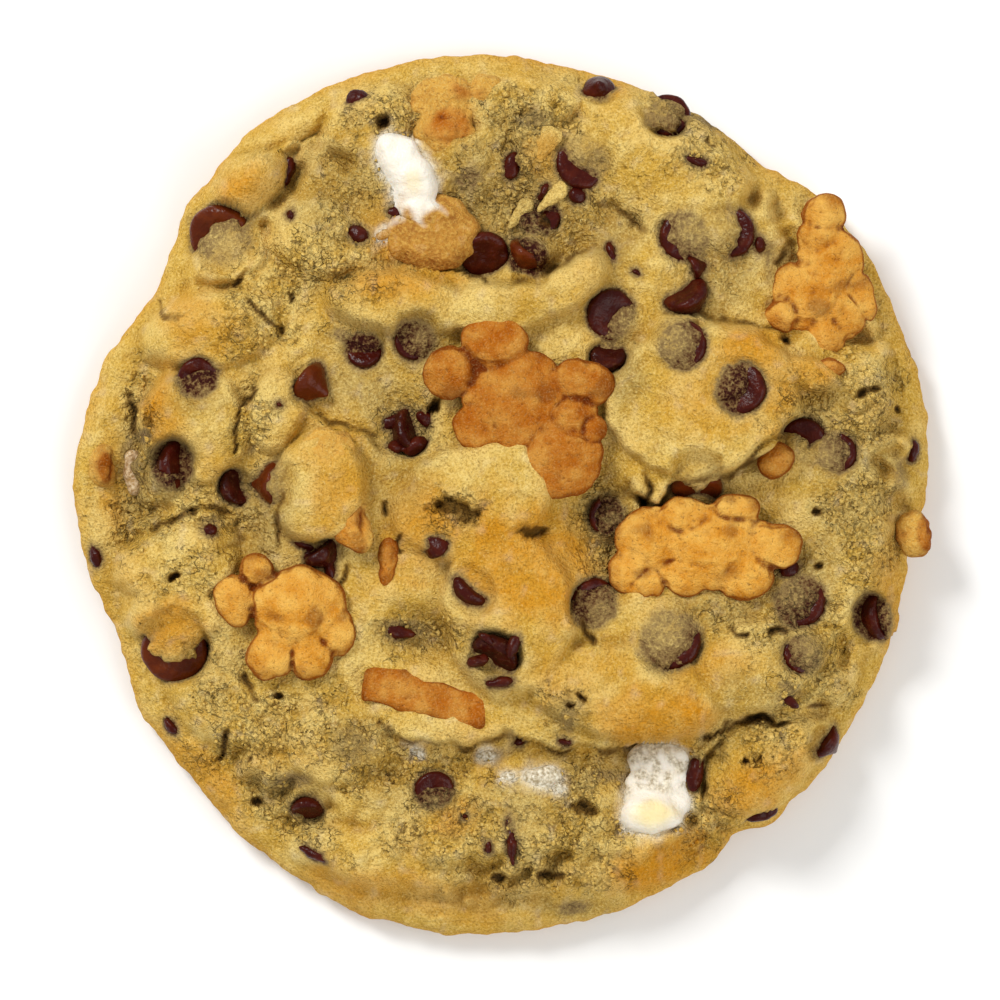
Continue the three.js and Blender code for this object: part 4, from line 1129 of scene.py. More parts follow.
@dataclass
class Relief:
    """Heights of the dough's surface, in millimetres, from its named swells, lips, cracks and pits."""

    rim_step: float = 0.84
    seats: list[Seat] = field(default_factory=list)

    def outline(self, bearing: Array) -> Array:
        """Radius of the outline's widest level at bearings in radians.

        Args:
            bearing: Bearings round the middle, in radians.

        Returns:
            Radii.
        """
        degrees = np.degrees(bearing)
        radius = np.full(bearing.shape, COOKIE_RADIUS)
        for at, spread, out in OUTLINE_SWELLS:
            off = (degrees - at + 180) % 360 - 180
            radius = radius + out * np.exp(-0.5 * (off / spread) ** 2)
        return radius

    def form(self, x: Array, y: Array) -> Array:
        """Height of the main form, as the solid has it, before the rim rounds it off.

        Args:
            x: Places along X.
            y: Places along Y.

        Returns:
            Heights over the floor.
        """
        wobble = layers(x, y, *SWELL_EDGE)
        heights = []
        for swell in SWELLS:
            distance = oval_distance(x, y, swell) + wobble
            reach = (distance - 1) * min(swell.half)
            dive = smooth(0.5 + reach / (2 * swell.wall)) * (swell.top - SKIRT_HEIGHT + 2)
            heights.append(swell.top - swell.crown * np.minimum(distance, 1.2) ** 2 - dive)
        stack = np.stack([*heights, np.full(x.shape, SKIRT_HEIGHT)])
        highest = stack.max(axis=0)
        pressed = highest + CREASE * np.log(np.exp((stack - highest) / CREASE).sum(axis=0))
        for hollow in HOLLOWS:
            pressed = pressed - hollow.strength * smooth(1.25 - 0.8 * oval_distance(x, y, hollow))
        return np.maximum(SKIRT_HEIGHT - 1, pressed) + self.waves(x, y)

    def waves(self, x: Array, y: Array) -> Array:
        """Long low waves over the whole top.

        Args:
            x: Places along X.
            y: Places along Y.

        Returns:
            What they add to the height.
        """
        height = np.zeros(x.shape)
        for i in range(WAVE_COUNT):
            bearing = np.radians(WAVE_BEARING * i)
            pitch = 2 * np.pi / (WAVE_LENGTH * WAVE_SHRINK**i)
            along = x * np.cos(bearing) + y * np.sin(bearing)
            height = height + WAVE_HEIGHT * WAVE_SHRINK**i * np.sin(pitch * along + i)
        return height

    def torn(self, x: Array, y: Array) -> tuple[Array, Array]:
        """Relief of lips, cracks and pits, and how deep in one each place lies, which the colour paints as
        shade.

        Args:
            x: Places along X.
            y: Places along Y.

        Returns:
            What it adds to the height, and the depth from 0 to 1 that is painted as shade.
        """
        height = np.zeros(x.shape)
        deep = np.zeros(x.shape)
        shift = layers(x, y, *TORN_EDGE)
        for lip in LIPS:
            i = near_box(x, y, lip.path, 3 * lip.reach)
            distance, side, share = path_distance(x[i], y[i], lip.path)
            signed = distance * side + shift[i]
            ends = smooth(share * LIP_ENDS) * smooth((1 - share) * LIP_ENDS)
            fade = np.exp(-np.abs(signed) / lip.reach)
            step = smooth(0.5 + signed / LIP_STEP)
            height[i] += LIP_GAIN * ends * fade * (lip.rise * step - lip.drop * (1 - step))
            # Painted shade: a dark line along the foot of each lip's drop.
            if lip.drop > 0:
                foot = np.exp(-(((signed + LIP_STEP) / LIP_FOOT) ** 2))
                deep[i] = np.maximum(deep[i], LIP_SHADE * ends * foot * smooth(0.7 + shift[i]))
        for crack in CRACKS:
            i = near_box(x, y, crack.path, 3)
            distance, side, share = path_distance(x[i], y[i], crack.path)
            ends = smooth(share * 6) * smooth((1 - share) * 6)
            signed = distance * side + 0.7 * shift[i]
            cut = ends * np.exp(-((signed / crack.width) ** 2)) * smooth(0.9 - 1.2 * shift[i])
            height[i] -= crack.depth * cut
            deep[i] = np.maximum(deep[i], cut)
        for pit in PITS:
            i = near_box(x, y, (pit.at,), 2.5 * max(pit.half))
            ragged = 0.7 * shift[i] + layers(x[i], y[i], PIT_EDGE)
            cut = smooth(1.6 - oval_distance(x[i], y[i], pit) - ragged)
            height[i] -= pit.strength * cut
            deep[i] = np.maximum(deep[i], cut * (0.75 if pit.half[0] > 1.2 else 1))
        return height, deep

    def rough(self, x: Array, y: Array) -> Array:
        """How coarse the crumb is, from 0 on smooth dough to 1 where it tore."""
        wander = layers(x, y, *ROUGH_EDGE)
        return np.clip(self.spotted(x, y, ROUGH, wander) + 0.25 * wander, 0.0, 1)

    def broken(self, x: Array, y: Array) -> Array:
        """Where coarse crumb cracked, from 0 to 1."""
        return smooth(0.1 + layers(x, y, BROKEN)) * smooth(self.rough(x, y) * 2)

    def lumps(self, x: Array, y: Array) -> Array:
        """Lumps and crags from a few millimetres down to the crumb.

        Args:
            x: Places along X.
            y: Places along Y.

        Returns:
            What they add to the height.
        """
        rough = self.rough(x, y)
        folded = smooth(0.5 + layers(x, y, FOLDED))
        fold = np.exp(-((layers(x, y, FOLD_LINES) / FOLD_WIDTH) ** 2)) * folded
        bend = layers(x, y, CRAG_BEND)
        inside, step = worley(x + bend, y - bend, CRAG_CELL, CRAG_SEED)
        crag = smooth(inside / 0.55) * (0.5 * step + 0.2) - 0.2
        inside, _ = worley(x - bend, y + bend, CRUMB_CELL, CRUMB_SEED)
        crumb = CRUMB_HEIGHT * (smooth(inside / 0.5) - 0.5)
        height = layers(x, y, *LUMPS) - FOLD_DEPTH * fold + rough * crumb
        return height + CRAG_HEIGHT * rough * crag * smooth(0.6 + layers(x, y, CRAGGED))

    def cover(self, x: Array, y: Array, z: Array) -> Array:
        """Lays the film of dough over each chip, and bares the rest of it.

        Args:
            x: Places along X.
            y: Places along Y.
            z: Heights so far, which it changes.

        Returns:
            How far the chocolate shows through at each place.
        """
        ragged = layers(x, y, *FILM_EDGE)
        tint = np.zeros(x.shape)
        for seat in self.seats:
            i = near_box(x, y, (seat.oval.at,), 2.2 * max(seat.oval.half))
            away = oval_distance(x[i], y[i], seat.oval)
            covered = np.zeros(len(i))
            if seat.chip.bare is not None:
                bearing, width = seat.chip.bare
                shift = 0.8 + width / 2
                reach = shift + seat.chip.radius - width
                fx, fy = (-shift * turn(np.radians(bearing)) for turn in (np.cos, np.sin))
                off = np.hypot(x[i] - seat.oval.at[0] - fx, y[i] - seat.oval.at[1] - fy)
                inside = reach - off + ragged[i]
                covered = smooth(inside / FILM_STEP + 0.5)
                thick = FILM_THIN + FILM_SWELL * smooth(inside / 3)
                thick = thick + FILM_THICK * (1 - seat.chip.tint) * smooth(inside / 1.5)
                dome = seat.top - CHIP_DOME * away**2 + thick
                laid = covered * smooth((1.7 - away) / 0.9)
                z[i] += (dome - z[i]) * laid * np.where(dome > z[i], 1, 0.8)
                far = seat.chip.tint**5
                near_edge = 0.5 + 0.5 * far + (0.5 - 0.5 * far) * smooth(1.1 - inside / 2.6)
                under_film = smooth((1.22 - away + 0.2 * ragged[i]) / 0.45)
                tint[i] = np.maximum(tint[i], seat.chip.tint * under_film * near_edge)
            bare = (1 - covered) * smooth((1.25 - away) / 0.35)
            z[i] += (np.minimum(z[i], seat.top - seat.chip.depth) - z[i]) * bare
        return tint

    def rounded(self, x: Array, y: Array, z: Array) -> Array:
        """Heights with the rim rounded down to the outline.

        Args:
            x: Places along X.
            y: Places along Y.
            z: Heights before.

        Returns:
            Heights after.
        """
        inward = self.outline(np.arctan2(y, x)) - np.hypot(x, y)
        share = np.clip(inward / RIM_ROUND, 0, 1)
        return WIDEST_AT + (z - WIDEST_AT) * np.sqrt(1 - (1 - share) ** 2)

    def surface(self, x: Array, y: Array) -> tuple[Array, Array]:
        """The dough before the films over the chips.

        Args:
            x: Places along X.
            y: Places along Y.

        Returns:
            Its heights, and how deep in a crack, a pit or the foot of a lip each place lies, for painted
            shade.
        """
        torn, deep = self.torn(x, y)
        return self.rounded(x, y, self.form(x, y) + torn + self.lumps(x, y)), deep

    def browned(self, x: Array, y: Array, spots: tuple[Oval, ...]) -> Array:
        """How far the dough took a colour at some places, from the spots where it did."""
        return self.spotted(x, y, spots, layers(x, y, *BROWN_EDGE))

    def spotted(self, x: Array, y: Array, spots: tuple[Oval, ...], wander: Array) -> Array:
        """The strength of the strongest spot at each place, with edges that wander.

        Args:
            x: Places along X.
            y: Places along Y.
            spots: The spots.
            wander: How uneven their edges are at each place.

        Returns:
            The strengths.
        """
        amount = np.zeros(x.shape)
        for spot in spots:
            near = smooth(SPOT_REACH - oval_distance(x, y, spot) + wander)
            amount = np.maximum(amount, spot.strength * near)
        return amount


RIM_CRUMB = (Layer(0.4, 3.6, 0), Layer(0.22, 1.6, 3), Layer(0.1, 0.8, 6))
RIM_SEED = 61
GOLD_CLOUDS = Layer(0.25, 7.0, 73)
PALE_CLOUDS = (Layer(0.8, 5.0, 74), Layer(0.55, 1.8, 75))
MELT_CLOUDS = Layer(0.3, 1.6, 76)
BROAD_BLUR = 90
FINE_BLUR = 6
MELT_REACH = 3.0
CHIP_REACH = 2.0


@dataclass
class Dough:
    """The baked dough: one closed skin from the craggy top round the rim to the flat underside."""

    relief: Relief
    chocolate: BVHTree
    marshmallow: BVHTree
    material: bpy.types.Material
    cells: int = 288
    rings: int = 6
    ring_step: float = 0.02

    def skin(self) -> bmesh.types.BMesh:
        """A square sheet with its edge drawn out in rings and closed, which places turns into the dough.

        Returns:
            The sheet.
        """
        shape = bmesh.new()
        bmesh.ops.create_grid(shape, x_segments=self.cells, y_segments=self.cells, size=1)
        edge = [e for e in shape.edges if e.is_boundary]
        for ring in range(self.rings):
            drawn = bmesh.ops.extrude_edge_only(shape, edges=edge)["geom"]
            corners = [g for g in drawn if isinstance(g, bmesh.types.BMVert)]
            edge = [g for g in drawn if isinstance(g, bmesh.types.BMEdge) and g.is_boundary]
            grow = (1 + (ring + 1) * self.ring_step) / (1 + ring * self.ring_step)
            bmesh.ops.scale(shape, vec=(grow, grow, 1), verts=corners)
        bmesh.ops.edgeloop_fill(shape, edges=edge)
        bmesh.ops.recalc_face_normals(shape, faces=shape.faces)
        return shape

    def build(self) -> bpy.types.Object:
        """Builds, paints and dresses the dough.

        Returns:
            The dough.
        """
        piece = mesh_of("cookie_dough", self.skin())
        mesh = piece.data
        u, v, _ = (places_of(mesh) * MM).T
        step = np.maximum(np.abs(u), np.abs(v))
        wide = np.abs(u) > np.abs(v)
        safe_u, safe_v = np.where(u == 0, 1e-9, u), np.where(v == 0, 1e-9, v)
        bearing = np.where(
            wide,
            np.pi / 4 * v / safe_u + np.where(u < 0, np.pi, 0),
            np.pi / 2 - np.pi / 4 * u / safe_v + np.where(v < 0, np.pi, 0),
        )
        outline = self.relief.outline(bearing)
        inner = outline - RIM_ROUND
        turn = np.clip((step - self.relief.rim_step) / (1 - self.relief.rim_step), 0, 1)
        curled = inner + RIM_ROUND * np.sin(turn * np.pi / 2)
        radius = np.where(turn > 0, curled, inner * step / self.relief.rim_step)
        under = np.clip((step - 1) / (self.rings * self.ring_step), 0, 1) * np.pi / 2
        radius = np.where(under > 0, outline - UNDERCUT * (1 - np.cos(under)), radius)
        x, y = radius * np.cos(bearing), radius * np.sin(bearing)
        z, deep = self.relief.surface(x, y)
        tint = self.relief.cover(x, y, z)
        z = np.where(under > 0, WIDEST_AT * (1 - np.sin(under)), z)
        set_places(mesh, np.stack([x, y, z], axis=1))
        self.roughen_rim(mesh, turn)
        self.colour(mesh, deep, tint, turn + under)
        dress(piece, self.material, "cookie_dough", "dough")
        return piece

    def roughen_rim(self, mesh: bpy.types.Mesh, turn: Array) -> None:
        """Gives the rim the crumb that heights alone can't give a wall.

        Args:
            mesh: The mesh.
            turn: How far round the rim each vertex lies, from 0 on top to 1.
        """
        places = places_of(mesh)
        wall = smooth(turn * 2.5) * smooth((places[:, 2] - 0.1) / 1.2)
        roughen(mesh, layers3(places, RIM_SEED, *RIM_CRUMB) * wall)

    def colour(self, mesh: bpy.types.Mesh, deep: Array, tint: Array, rim: Array) -> None:
        """Paints where the dough is golden, greyed, stained by chocolate or coarse, with painted shade in
        hollows and cracks and painted light on bumps.

        Args:
            mesh: The mesh.
            deep: How deep in a crack, a pit or at a lip's foot each vertex lies, painted as shade.
            tint: How far chocolate shows through there.
            rim: How far round the rim it lies.
        """
        places = places_of(mesh)
        x, y, _ = places.T
        golden = self.relief.browned(x, y, GOLDEN)
        greyed = self.relief.browned(x, y, GREYED)
        broad = -dent(mesh, BROAD_BLUR)
        fine = -dent(mesh, FINE_BLUR)
        golden = np.maximum(golden, 0.55 * smooth(rim - 0.35)) + layers(x, y, GOLD_CLOUDS) + 0.12 * broad
        # pale: random clouds, plus painted light on fine and broad bumps; less of it round the rim.
        pale = 0.32 + layers(x, y, *PALE_CLOUDS) + 0.3 * smooth(fine / 0.09)
        paint(mesh, "pale", (pale + 0.3 * smooth(broad / 0.8)) * (1 - 0.6 * smooth(rim)))
        paint(mesh, "golden", golden * (1 - 0.75 * greyed))
        paint(mesh, "greyed", greyed)
        paint(mesh, "rough", self.relief.rough(x, y))
        paint(mesh, "broken", self.relief.broken(x, y))
        paint(mesh, "deep", deep)
        # Painted shade in broad and fine hollows.
        paint(mesh, "hollow", smooth(-broad / 0.9) * 0.2 + smooth(-fine / 0.09) * 0.5)
        near_melt = 1.2 * np.exp(-gaps_to(self.marshmallow, places, MELT_REACH) / 0.5)
        paint(mesh, "melt", near_melt - 0.1 + layers(x, y, MELT_CLOUDS))
        near_chip = 0.85 * np.exp(-gaps_to(self.chocolate, places, CHIP_REACH) / 0.32)
        paint(mesh, "stain", np.maximum(np.maximum(tint, near_chip), self.relief.browned(x, y, SMEARED)))


# ---------------------------------------------------------------- pieces

# Half outline of a chip of radius 1: share of the way from tip to middle of the base, radius, height.
CHIP_PROFILE: tuple[tuple[float, float, float], ...] = (
    (0.0, 0.0, 1.42), (0.1, 0.12, 1.36), (0.25, 0.34, 1.12), (0.4, 0.66, 0.78), (0.52, 0.9, 0.5),
    (0.62, 1.0, 0.26), (0.7, 0.96, 0.08), (0.78, 0.84, 0.0), (0.88, 0.5, 0.02), (1.0, 0.0, 0.05),
)


CHIP_SKIN = (Layer(0.16, 2.2, 0), Layer(0.07, 0.9, 3))
CRUMBLED_SKIN = 2.4


@dataclass
class ChocolateChips:
    """The chips, each turned and placed as its CAD node is."""

    finishes: dict[Cocoa, bpy.types.Material]

    def build(self) -> tuple[list[bpy.types.Object], list[Seat]]:
        """Builds every chip, and says where each lies."""
        pieces = [self.chip(i, node, chip) for i, (node, chip) in enumerate(CHIPS.items())]
        return pieces, [self.seat(piece, chip) for piece, chip in zip(pieces, CHIPS.values())]

    def seat(self, piece: bpy.types.Object, chip: Chip) -> Seat:
        """Where a chip lies: its outline as an oval along its lean, and its top.

        Args:
            piece: The chip's piece.
            chip: Its shape.

        Returns:
            Its seat in the dough.
        """
        places = places_of(piece.data)
        turn = np.radians(chip.bearing)
        along = np.array([np.cos(turn), np.sin(turn)])
        across = np.array([-np.sin(turn), np.cos(turn)])
        ends = [(places[:, :2] @ axis).min() for axis in (along, across)]
        far = [(places[:, :2] @ axis).max() for axis in (along, across)]
        middle = (ends[0] + far[0]) / 2 * along + (ends[1] + far[1]) / 2 * across
        half = ((far[0] - ends[0]) / 2, (far[1] - ends[1]) / 2)
        return Seat(chip, Oval((middle[0], middle[1]), half, chip.bearing), places[:, 2].max())

    def chip(self, index: int, node: str, chip: Chip) -> bpy.types.Object:
        """Builds one chip.

        Args:
            index: Its number, which seeds its unevenness.
            node: Its CAD node.
            chip: Its shape.

        Returns:
            The piece.
        """
        shape = bmesh.new()
        bmesh.ops.create_icosphere(shape, subdivisions=4, radius=1)
        piece = mesh_of("chocolate_" + node, shape)
        ball = places_of(piece.data) * MM
        share = np.arccos(np.clip(ball[:, 2], -1, 1)) / np.pi
        stops, radii, heights = np.array(CHIP_PROFILE).T
        radius = np.interp(share, stops, radii) * chip.radius
        height = np.interp(share, stops, heights) * chip.radius
        bearing = np.arctan2(ball[:, 1], ball[:, 0])
        places = np.stack([radius * np.cos(bearing), radius * np.sin(bearing), height], axis=1)
        rough = CRUMBLED_SKIN if chip.cocoa is Cocoa.CRUMBLED else 1.0
        push = rough * layers3(places, 100 + 10 * index, *CHIP_SKIN)
        places = places + ball * push[:, None]
        lean = Matrix.Rotation(np.radians(chip.lean), 3, "Y")
        turned = Matrix.Rotation(np.radians(chip.bearing), 3, "Z") @ lean
        places = places @ np.array(turned).T
        low, high = (np.array(corner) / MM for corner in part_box(node))
        middle = (places.min(axis=0) + places.max(axis=0)) / 2
        places = places - middle + (low + high) / 2
        set_places(piece.data, places)
        dress(piece, self.finishes[chip.cocoa], "chocolate", node)
        return piece


@dataclass
class LobedPieces:
    """Biscuits and marshmallows: rounded lobes run together into one skin."""

    voxel: float = 0.25
    relax: int = 4

    def blob(self, name: str, lobes: tuple[Lobe, ...], middle_height: float, slope: Pair) -> bpy.types.Object:
        """Runs lobes together.

        Args:
            name: Name of the piece.
            lobes: Its lobes.
            middle_height: Height of its middle plane at the first lobe.
            slope: How that plane leans along X and Y.

        Returns:
            The piece, with one closed skin.
        """
        shape = bmesh.new()
        x0, y0 = lobes[0].at
        for lobe in lobes:
            made = bmesh.ops.create_icosphere(shape, subdivisions=4, radius=1)["verts"]
            height = middle_height + slope[0] * (lobe.at[0] - x0) + slope[1] * (lobe.at[1] - y0) + lobe.lift
            place = Matrix.Translation(Vector((*lobe.at, height)) * MM)
            turn = Matrix.Rotation(np.radians(lobe.turn), 4, "Z")
            size = Matrix.Diagonal((*(h * MM for h in lobe.half), 1))
            bmesh.ops.transform(shape, matrix=place @ turn @ size, verts=made)
        return self.skin(mesh_of(name, shape), self.relax)

    def skin(self, piece: bpy.types.Object, relax: int = 0) -> bpy.types.Object:
        """Runs a piece's shells together into one skin of even faces.

        Args:
            piece: The piece, which it changes.
            relax: How many times its vertices move to the middle of their neighbours.

        Returns:
            The piece.
        """
        remesh = piece.modifiers.new("skin", "REMESH")
        remesh.mode = "VOXEL"
        remesh.voxel_size = self.voxel * MM
        if relax:
            smoothing = piece.modifiers.new("relax", "SMOOTH")
            smoothing.iterations = relax
            smoothing.factor = 0.5
        done = bpy.data.meshes.new_from_object(piece.evaluated_get(bpy.context.evaluated_depsgraph_get()))
        piece.modifiers.clear()
        piece.data = done
        piece.data.shade_smooth()
        return piece

    def laid(
        self, name: str, spots: tuple[Oval, ...], relief: Relief, tall: float, lift: float
    ) -> bpy.types.Object:
        """Lays one flat lobe on the dough at each spot, and runs those that touch together.

        Args:
            name: Name of the piece.
            spots: Where the lobes lie.
            relief: The dough that they lie on.
            tall: Half the height of each.
            lift: How far the middle of each lies above the dough.

        Returns:
            The piece.
        """
        heights, _ = relief.surface(*np.array([spot.at for spot in spots]).T)
        lobes = tuple(
            Lobe(spot.at, (*spot.half, tall), float(height + lift), spot.turn)
            for spot, height in zip(spots, heights)
        )
        return self.blob(name, lobes, 0.0, (0, 0))

    def middle(self, node: str) -> float:
        """Height of the middle of a CAD node, in millimetres."""
        low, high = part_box(node)
        return (low[2] + high[2]) / 2 / MM


GROOVE_EDGE = Layer(0.25, 2.4, 391)
GROOVE_DEPTH = 0.26
BISCUIT_WARP = 5.0
BISCUIT_SWELL = Layer(0.42, 3.6, 6)
BISCUIT_CRUMB = (Layer(0.2, 1.7, 9), Layer(0.09, 0.8, 12))
SLAB_SIZE = (14.8, 4.2, 5.6)
SLAB_TURN = -14
SLAB_ROUND = 0.9


@dataclass
class Biscuits(LobedPieces):
    """Graham biscuits in the shape of a bear, bits of them, and one that stands on its edge."""

    material: bpy.types.Material | None = None

    def build(self) -> list[bpy.types.Object]:
        """Builds every biscuit.

        Returns:
            The pieces.
        """
        pieces = [self.bear(i, node, bear) for i, (node, bear) in enumerate(BEARS.items())]
        pieces.append(self.slab())
        return pieces

    def bear(self, index: int, node: str, bear: Bear) -> bpy.types.Object:
        """Builds one bear or bit.

        Args:
            index: Its number, which seeds its unevenness.
            node: Its CAD node.
            bear: Its shape.

        Returns:
            The piece.
        """
        piece = self.blob("graham_" + node, bear.lobes, self.middle(node), bear.slope)
        self.crumble(piece, 400 + 10 * index, bear)
        dress(piece, self.material, "graham_biscuit", node)
        return piece

    def crumble(self, piece: bpy.types.Object, seed: int, bear: Bear) -> None:
        """Warps and roughens a biscuit, and paints its edges browner, its creases darker as painted shade and
        its crests paler as painted light.

        Args:
            piece: The biscuit, with an even skin.
            seed: Which noise.
            bear: How brown its baking left it, and what dough sticks to it.
        """
        mesh = piece.data
        places = places_of(mesh)
        groove = self.groove(places, bear.lobes)
        warp = [grain3(places + aside, BISCUIT_WARP, seed) for aside in (0, 50)]
        places[:, :2] += 0.6 * np.stack(warp, axis=1)
        lumpy = 1 + 1.5 * bear.coat
        push = layers3(places, seed, BISCUIT_SWELL) + lumpy * layers3(places, seed, *BISCUIT_CRUMB)
        push = push - GROOVE_DEPTH * groove
        set_places(mesh, places + normals_of(mesh) * push[:, None])
        places = places_of(mesh)
        swell, valley, fine = -dent(mesh, 120), dent(mesh, 40), dent(mesh, 10)
        steep = 1 - smooth((normals_of(mesh)[:, 2] - 0.3) / 0.5)
        coat = bear.coat * smooth(0.9 + grain3(places, 2.2, seed + 15))
        if bear.bare is not None:
            coat = coat * smooth(2.2 * oval_distance(places[:, 0], places[:, 1], bear.bare) - 1.8)
        valley = smooth(valley / 0.4 - 0.25)
        # edge: steep sides and rims browned, and valleys between lobes darkened as painted shade.
        paint(mesh, "edge", np.maximum(np.maximum(steep, valley), smooth(swell - 0.2)))
        # Painted shade in the fine creases.
        paint(mesh, "hollow", 0.9 * smooth(fine / 0.14 - 0.1))
        # Painted light: paler on fine crests.
        paint(mesh, "crest_light", smooth(-fine / 0.14))
        paint(mesh, "warmth", np.full(len(places), bear.warmth))
        paint(mesh, "coat", coat)
        paint(mesh, "scorch", 0.5 * smooth(2 * grain3(places, 2.6, seed + 18) - 0.6))

    def groove(self, places: Array, lobes: tuple[Lobe, ...]) -> Array:
        """How near each place is to a line where two lobes meet, from 0 to 1 on it.

        Args:
            places: Places in millimetres, one row each.
            lobes: The lobes.

        Returns:
            The nearness.
        """
        if len(lobes) < 2:
            return np.zeros(len(places))
        x, y, _ = places.T
        ovals = [Oval(lobe.at, lobe.half[:2], lobe.turn) for lobe in lobes]
        first, second = np.sort([oval_distance(x, y, oval) for oval in ovals], axis=0)[:2]
        wander = layers(x, y, GROOVE_EDGE)
        return smooth(1 - (second - first) / 0.4 + wander) * smooth((1.25 - second) / 0.3)

    def slab(self) -> bpy.types.Object:
        """Builds the biscuit that stands on its edge.

        Returns:
            The piece.
        """
        node = "biscuit_on_edge"
        low, high = (np.array(corner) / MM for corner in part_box(node))
        middle = (low + high) / 2
        shape = bmesh.new()
        bmesh.ops.create_cube(shape, size=1)
        size = Matrix.Diagonal((*(side * MM for side in SLAB_SIZE), 1))
        turn = Matrix.Rotation(np.radians(SLAB_TURN), 4, "Z")
        place = Matrix.Translation(Vector(middle) * MM)
        bmesh.ops.transform(shape, matrix=place @ turn @ size, verts=shape.verts)
        bmesh.ops.bevel(
            shape, geom=shape.edges[:], offset=SLAB_ROUND * MM, segments=4, profile=0.5, affect="EDGES",
            material=-1,
        )
        piece = self.skin(mesh_of("graham_" + node, shape))
        self.crumble(piece, 600, Bear((), warmth=1.0))
        dress(piece, self.material, "graham_biscuit", node)
        return piece


@dataclass(frozen=True)
class Melt:
    """A melted marshmallow at a CAD node: its lobes, and how far it is toasted or turned to clear sugar."""

    lobes: tuple[Lobe, ...]
    toast: float = 0.0
    clear: float = 0.0


MARSHMALLOWS: dict[str, Melt] = {
    "marshmallow_upper": Melt((
        Lobe((-13, 40.4), (2.2, 1.9, 2.2)),
        Lobe((-12, 39.6), (2.7, 2.3, 2.5)),
        Lobe((-11, 38), (2.8, 2.5, 2.5)),
        Lobe((-10.3, 36), (2.9, 2.6, 2.3), -0.1),
        Lobe((-10.2, 34), (2.9, 2.2, 2.1), -0.2),
        Lobe((-9, 32.8), (3.2, 1.8, 1.9), -0.1),
    )),
    "marshmallow_toasted": Melt((
        Lobe((-9.2, 29.8), (5.6, 3.4, 2.4), -0.3, -10),
        Lobe((-7.4, 32.4), (3.6, 2.8, 2.2), -0.4),
        Lobe((-5.6, 30.6), (3, 3.2, 2.1), -0.4),
    ), toast=1.0),
    "marshmallow_lower": Melt((
        Lobe((18.4, -31), (4.2, 2.2, 1.6), -0.7),
        Lobe((18.6, -33.4), (4.2, 2.6, 1.7), -0.8),
        Lobe((18.2, -35.8), (4.0, 2.4, 1.9), -0.5),
        Lobe((17.5, -37.4), (3.7, 2.6, 2.6), 0.1),
    )),
    "marshmallow_pool_right": Melt((Lobe((4.6, -33.2), (2.4, 1.3, 1.2)),), clear=1.0),
    "marshmallow_pool_tab": Melt((Lobe((-43.2, 2.4), (1.6, 2.9, 1.3), 0, 10),), toast=0.5, clear=1.0),
}

# White threads that the melt drew over what it ran onto.
SUGAR_THREADS: tuple[tuple[Pair, ...], ...] = (
    ((-11, 34.4), (-12.4, 32.4), (-14.8, 30.2)),
    ((-10.4, 34), (-10.2, 32.4), (-9.4, 31.6)),
    ((-9.8, 34.6), (-7.8, 34), (-6.4, 32.6)),
    ((-12, 33), (-13.2, 32.6), (-14.4, 32)),
)

# Clear sugar that boiled out of marshmallow.
SUGAR_POOLS = ovals(
    (-10.3, -30.1, 1.3, 0.8, -15), (-1.9, -30.5, 1.5, 0.7, 5), (0.2, -33, 1.1, 0.8, 20),
    (6.2, -34.2, 1.1, 0.7, -30), (-14.2, 30.6, 1.1, 0.4, 30), (-12.4, 32.2, 0.9, 0.4, 50),
)


MELT_WARP = 3.0
MELT_SWELL = Layer(0.25, 2.6, 3)
MELT_CRUST = Layer(0.3, 1.4, 6)
CREAM_LOWER = Oval((17.6, -37.2), (2.3, 1.6))
CREAM_UPPER = Oval((-10.6, 36.6), (1.2, 1.8))
TOASTED_BELOW = 34.6
SUGARED_ABOVE = -35.2


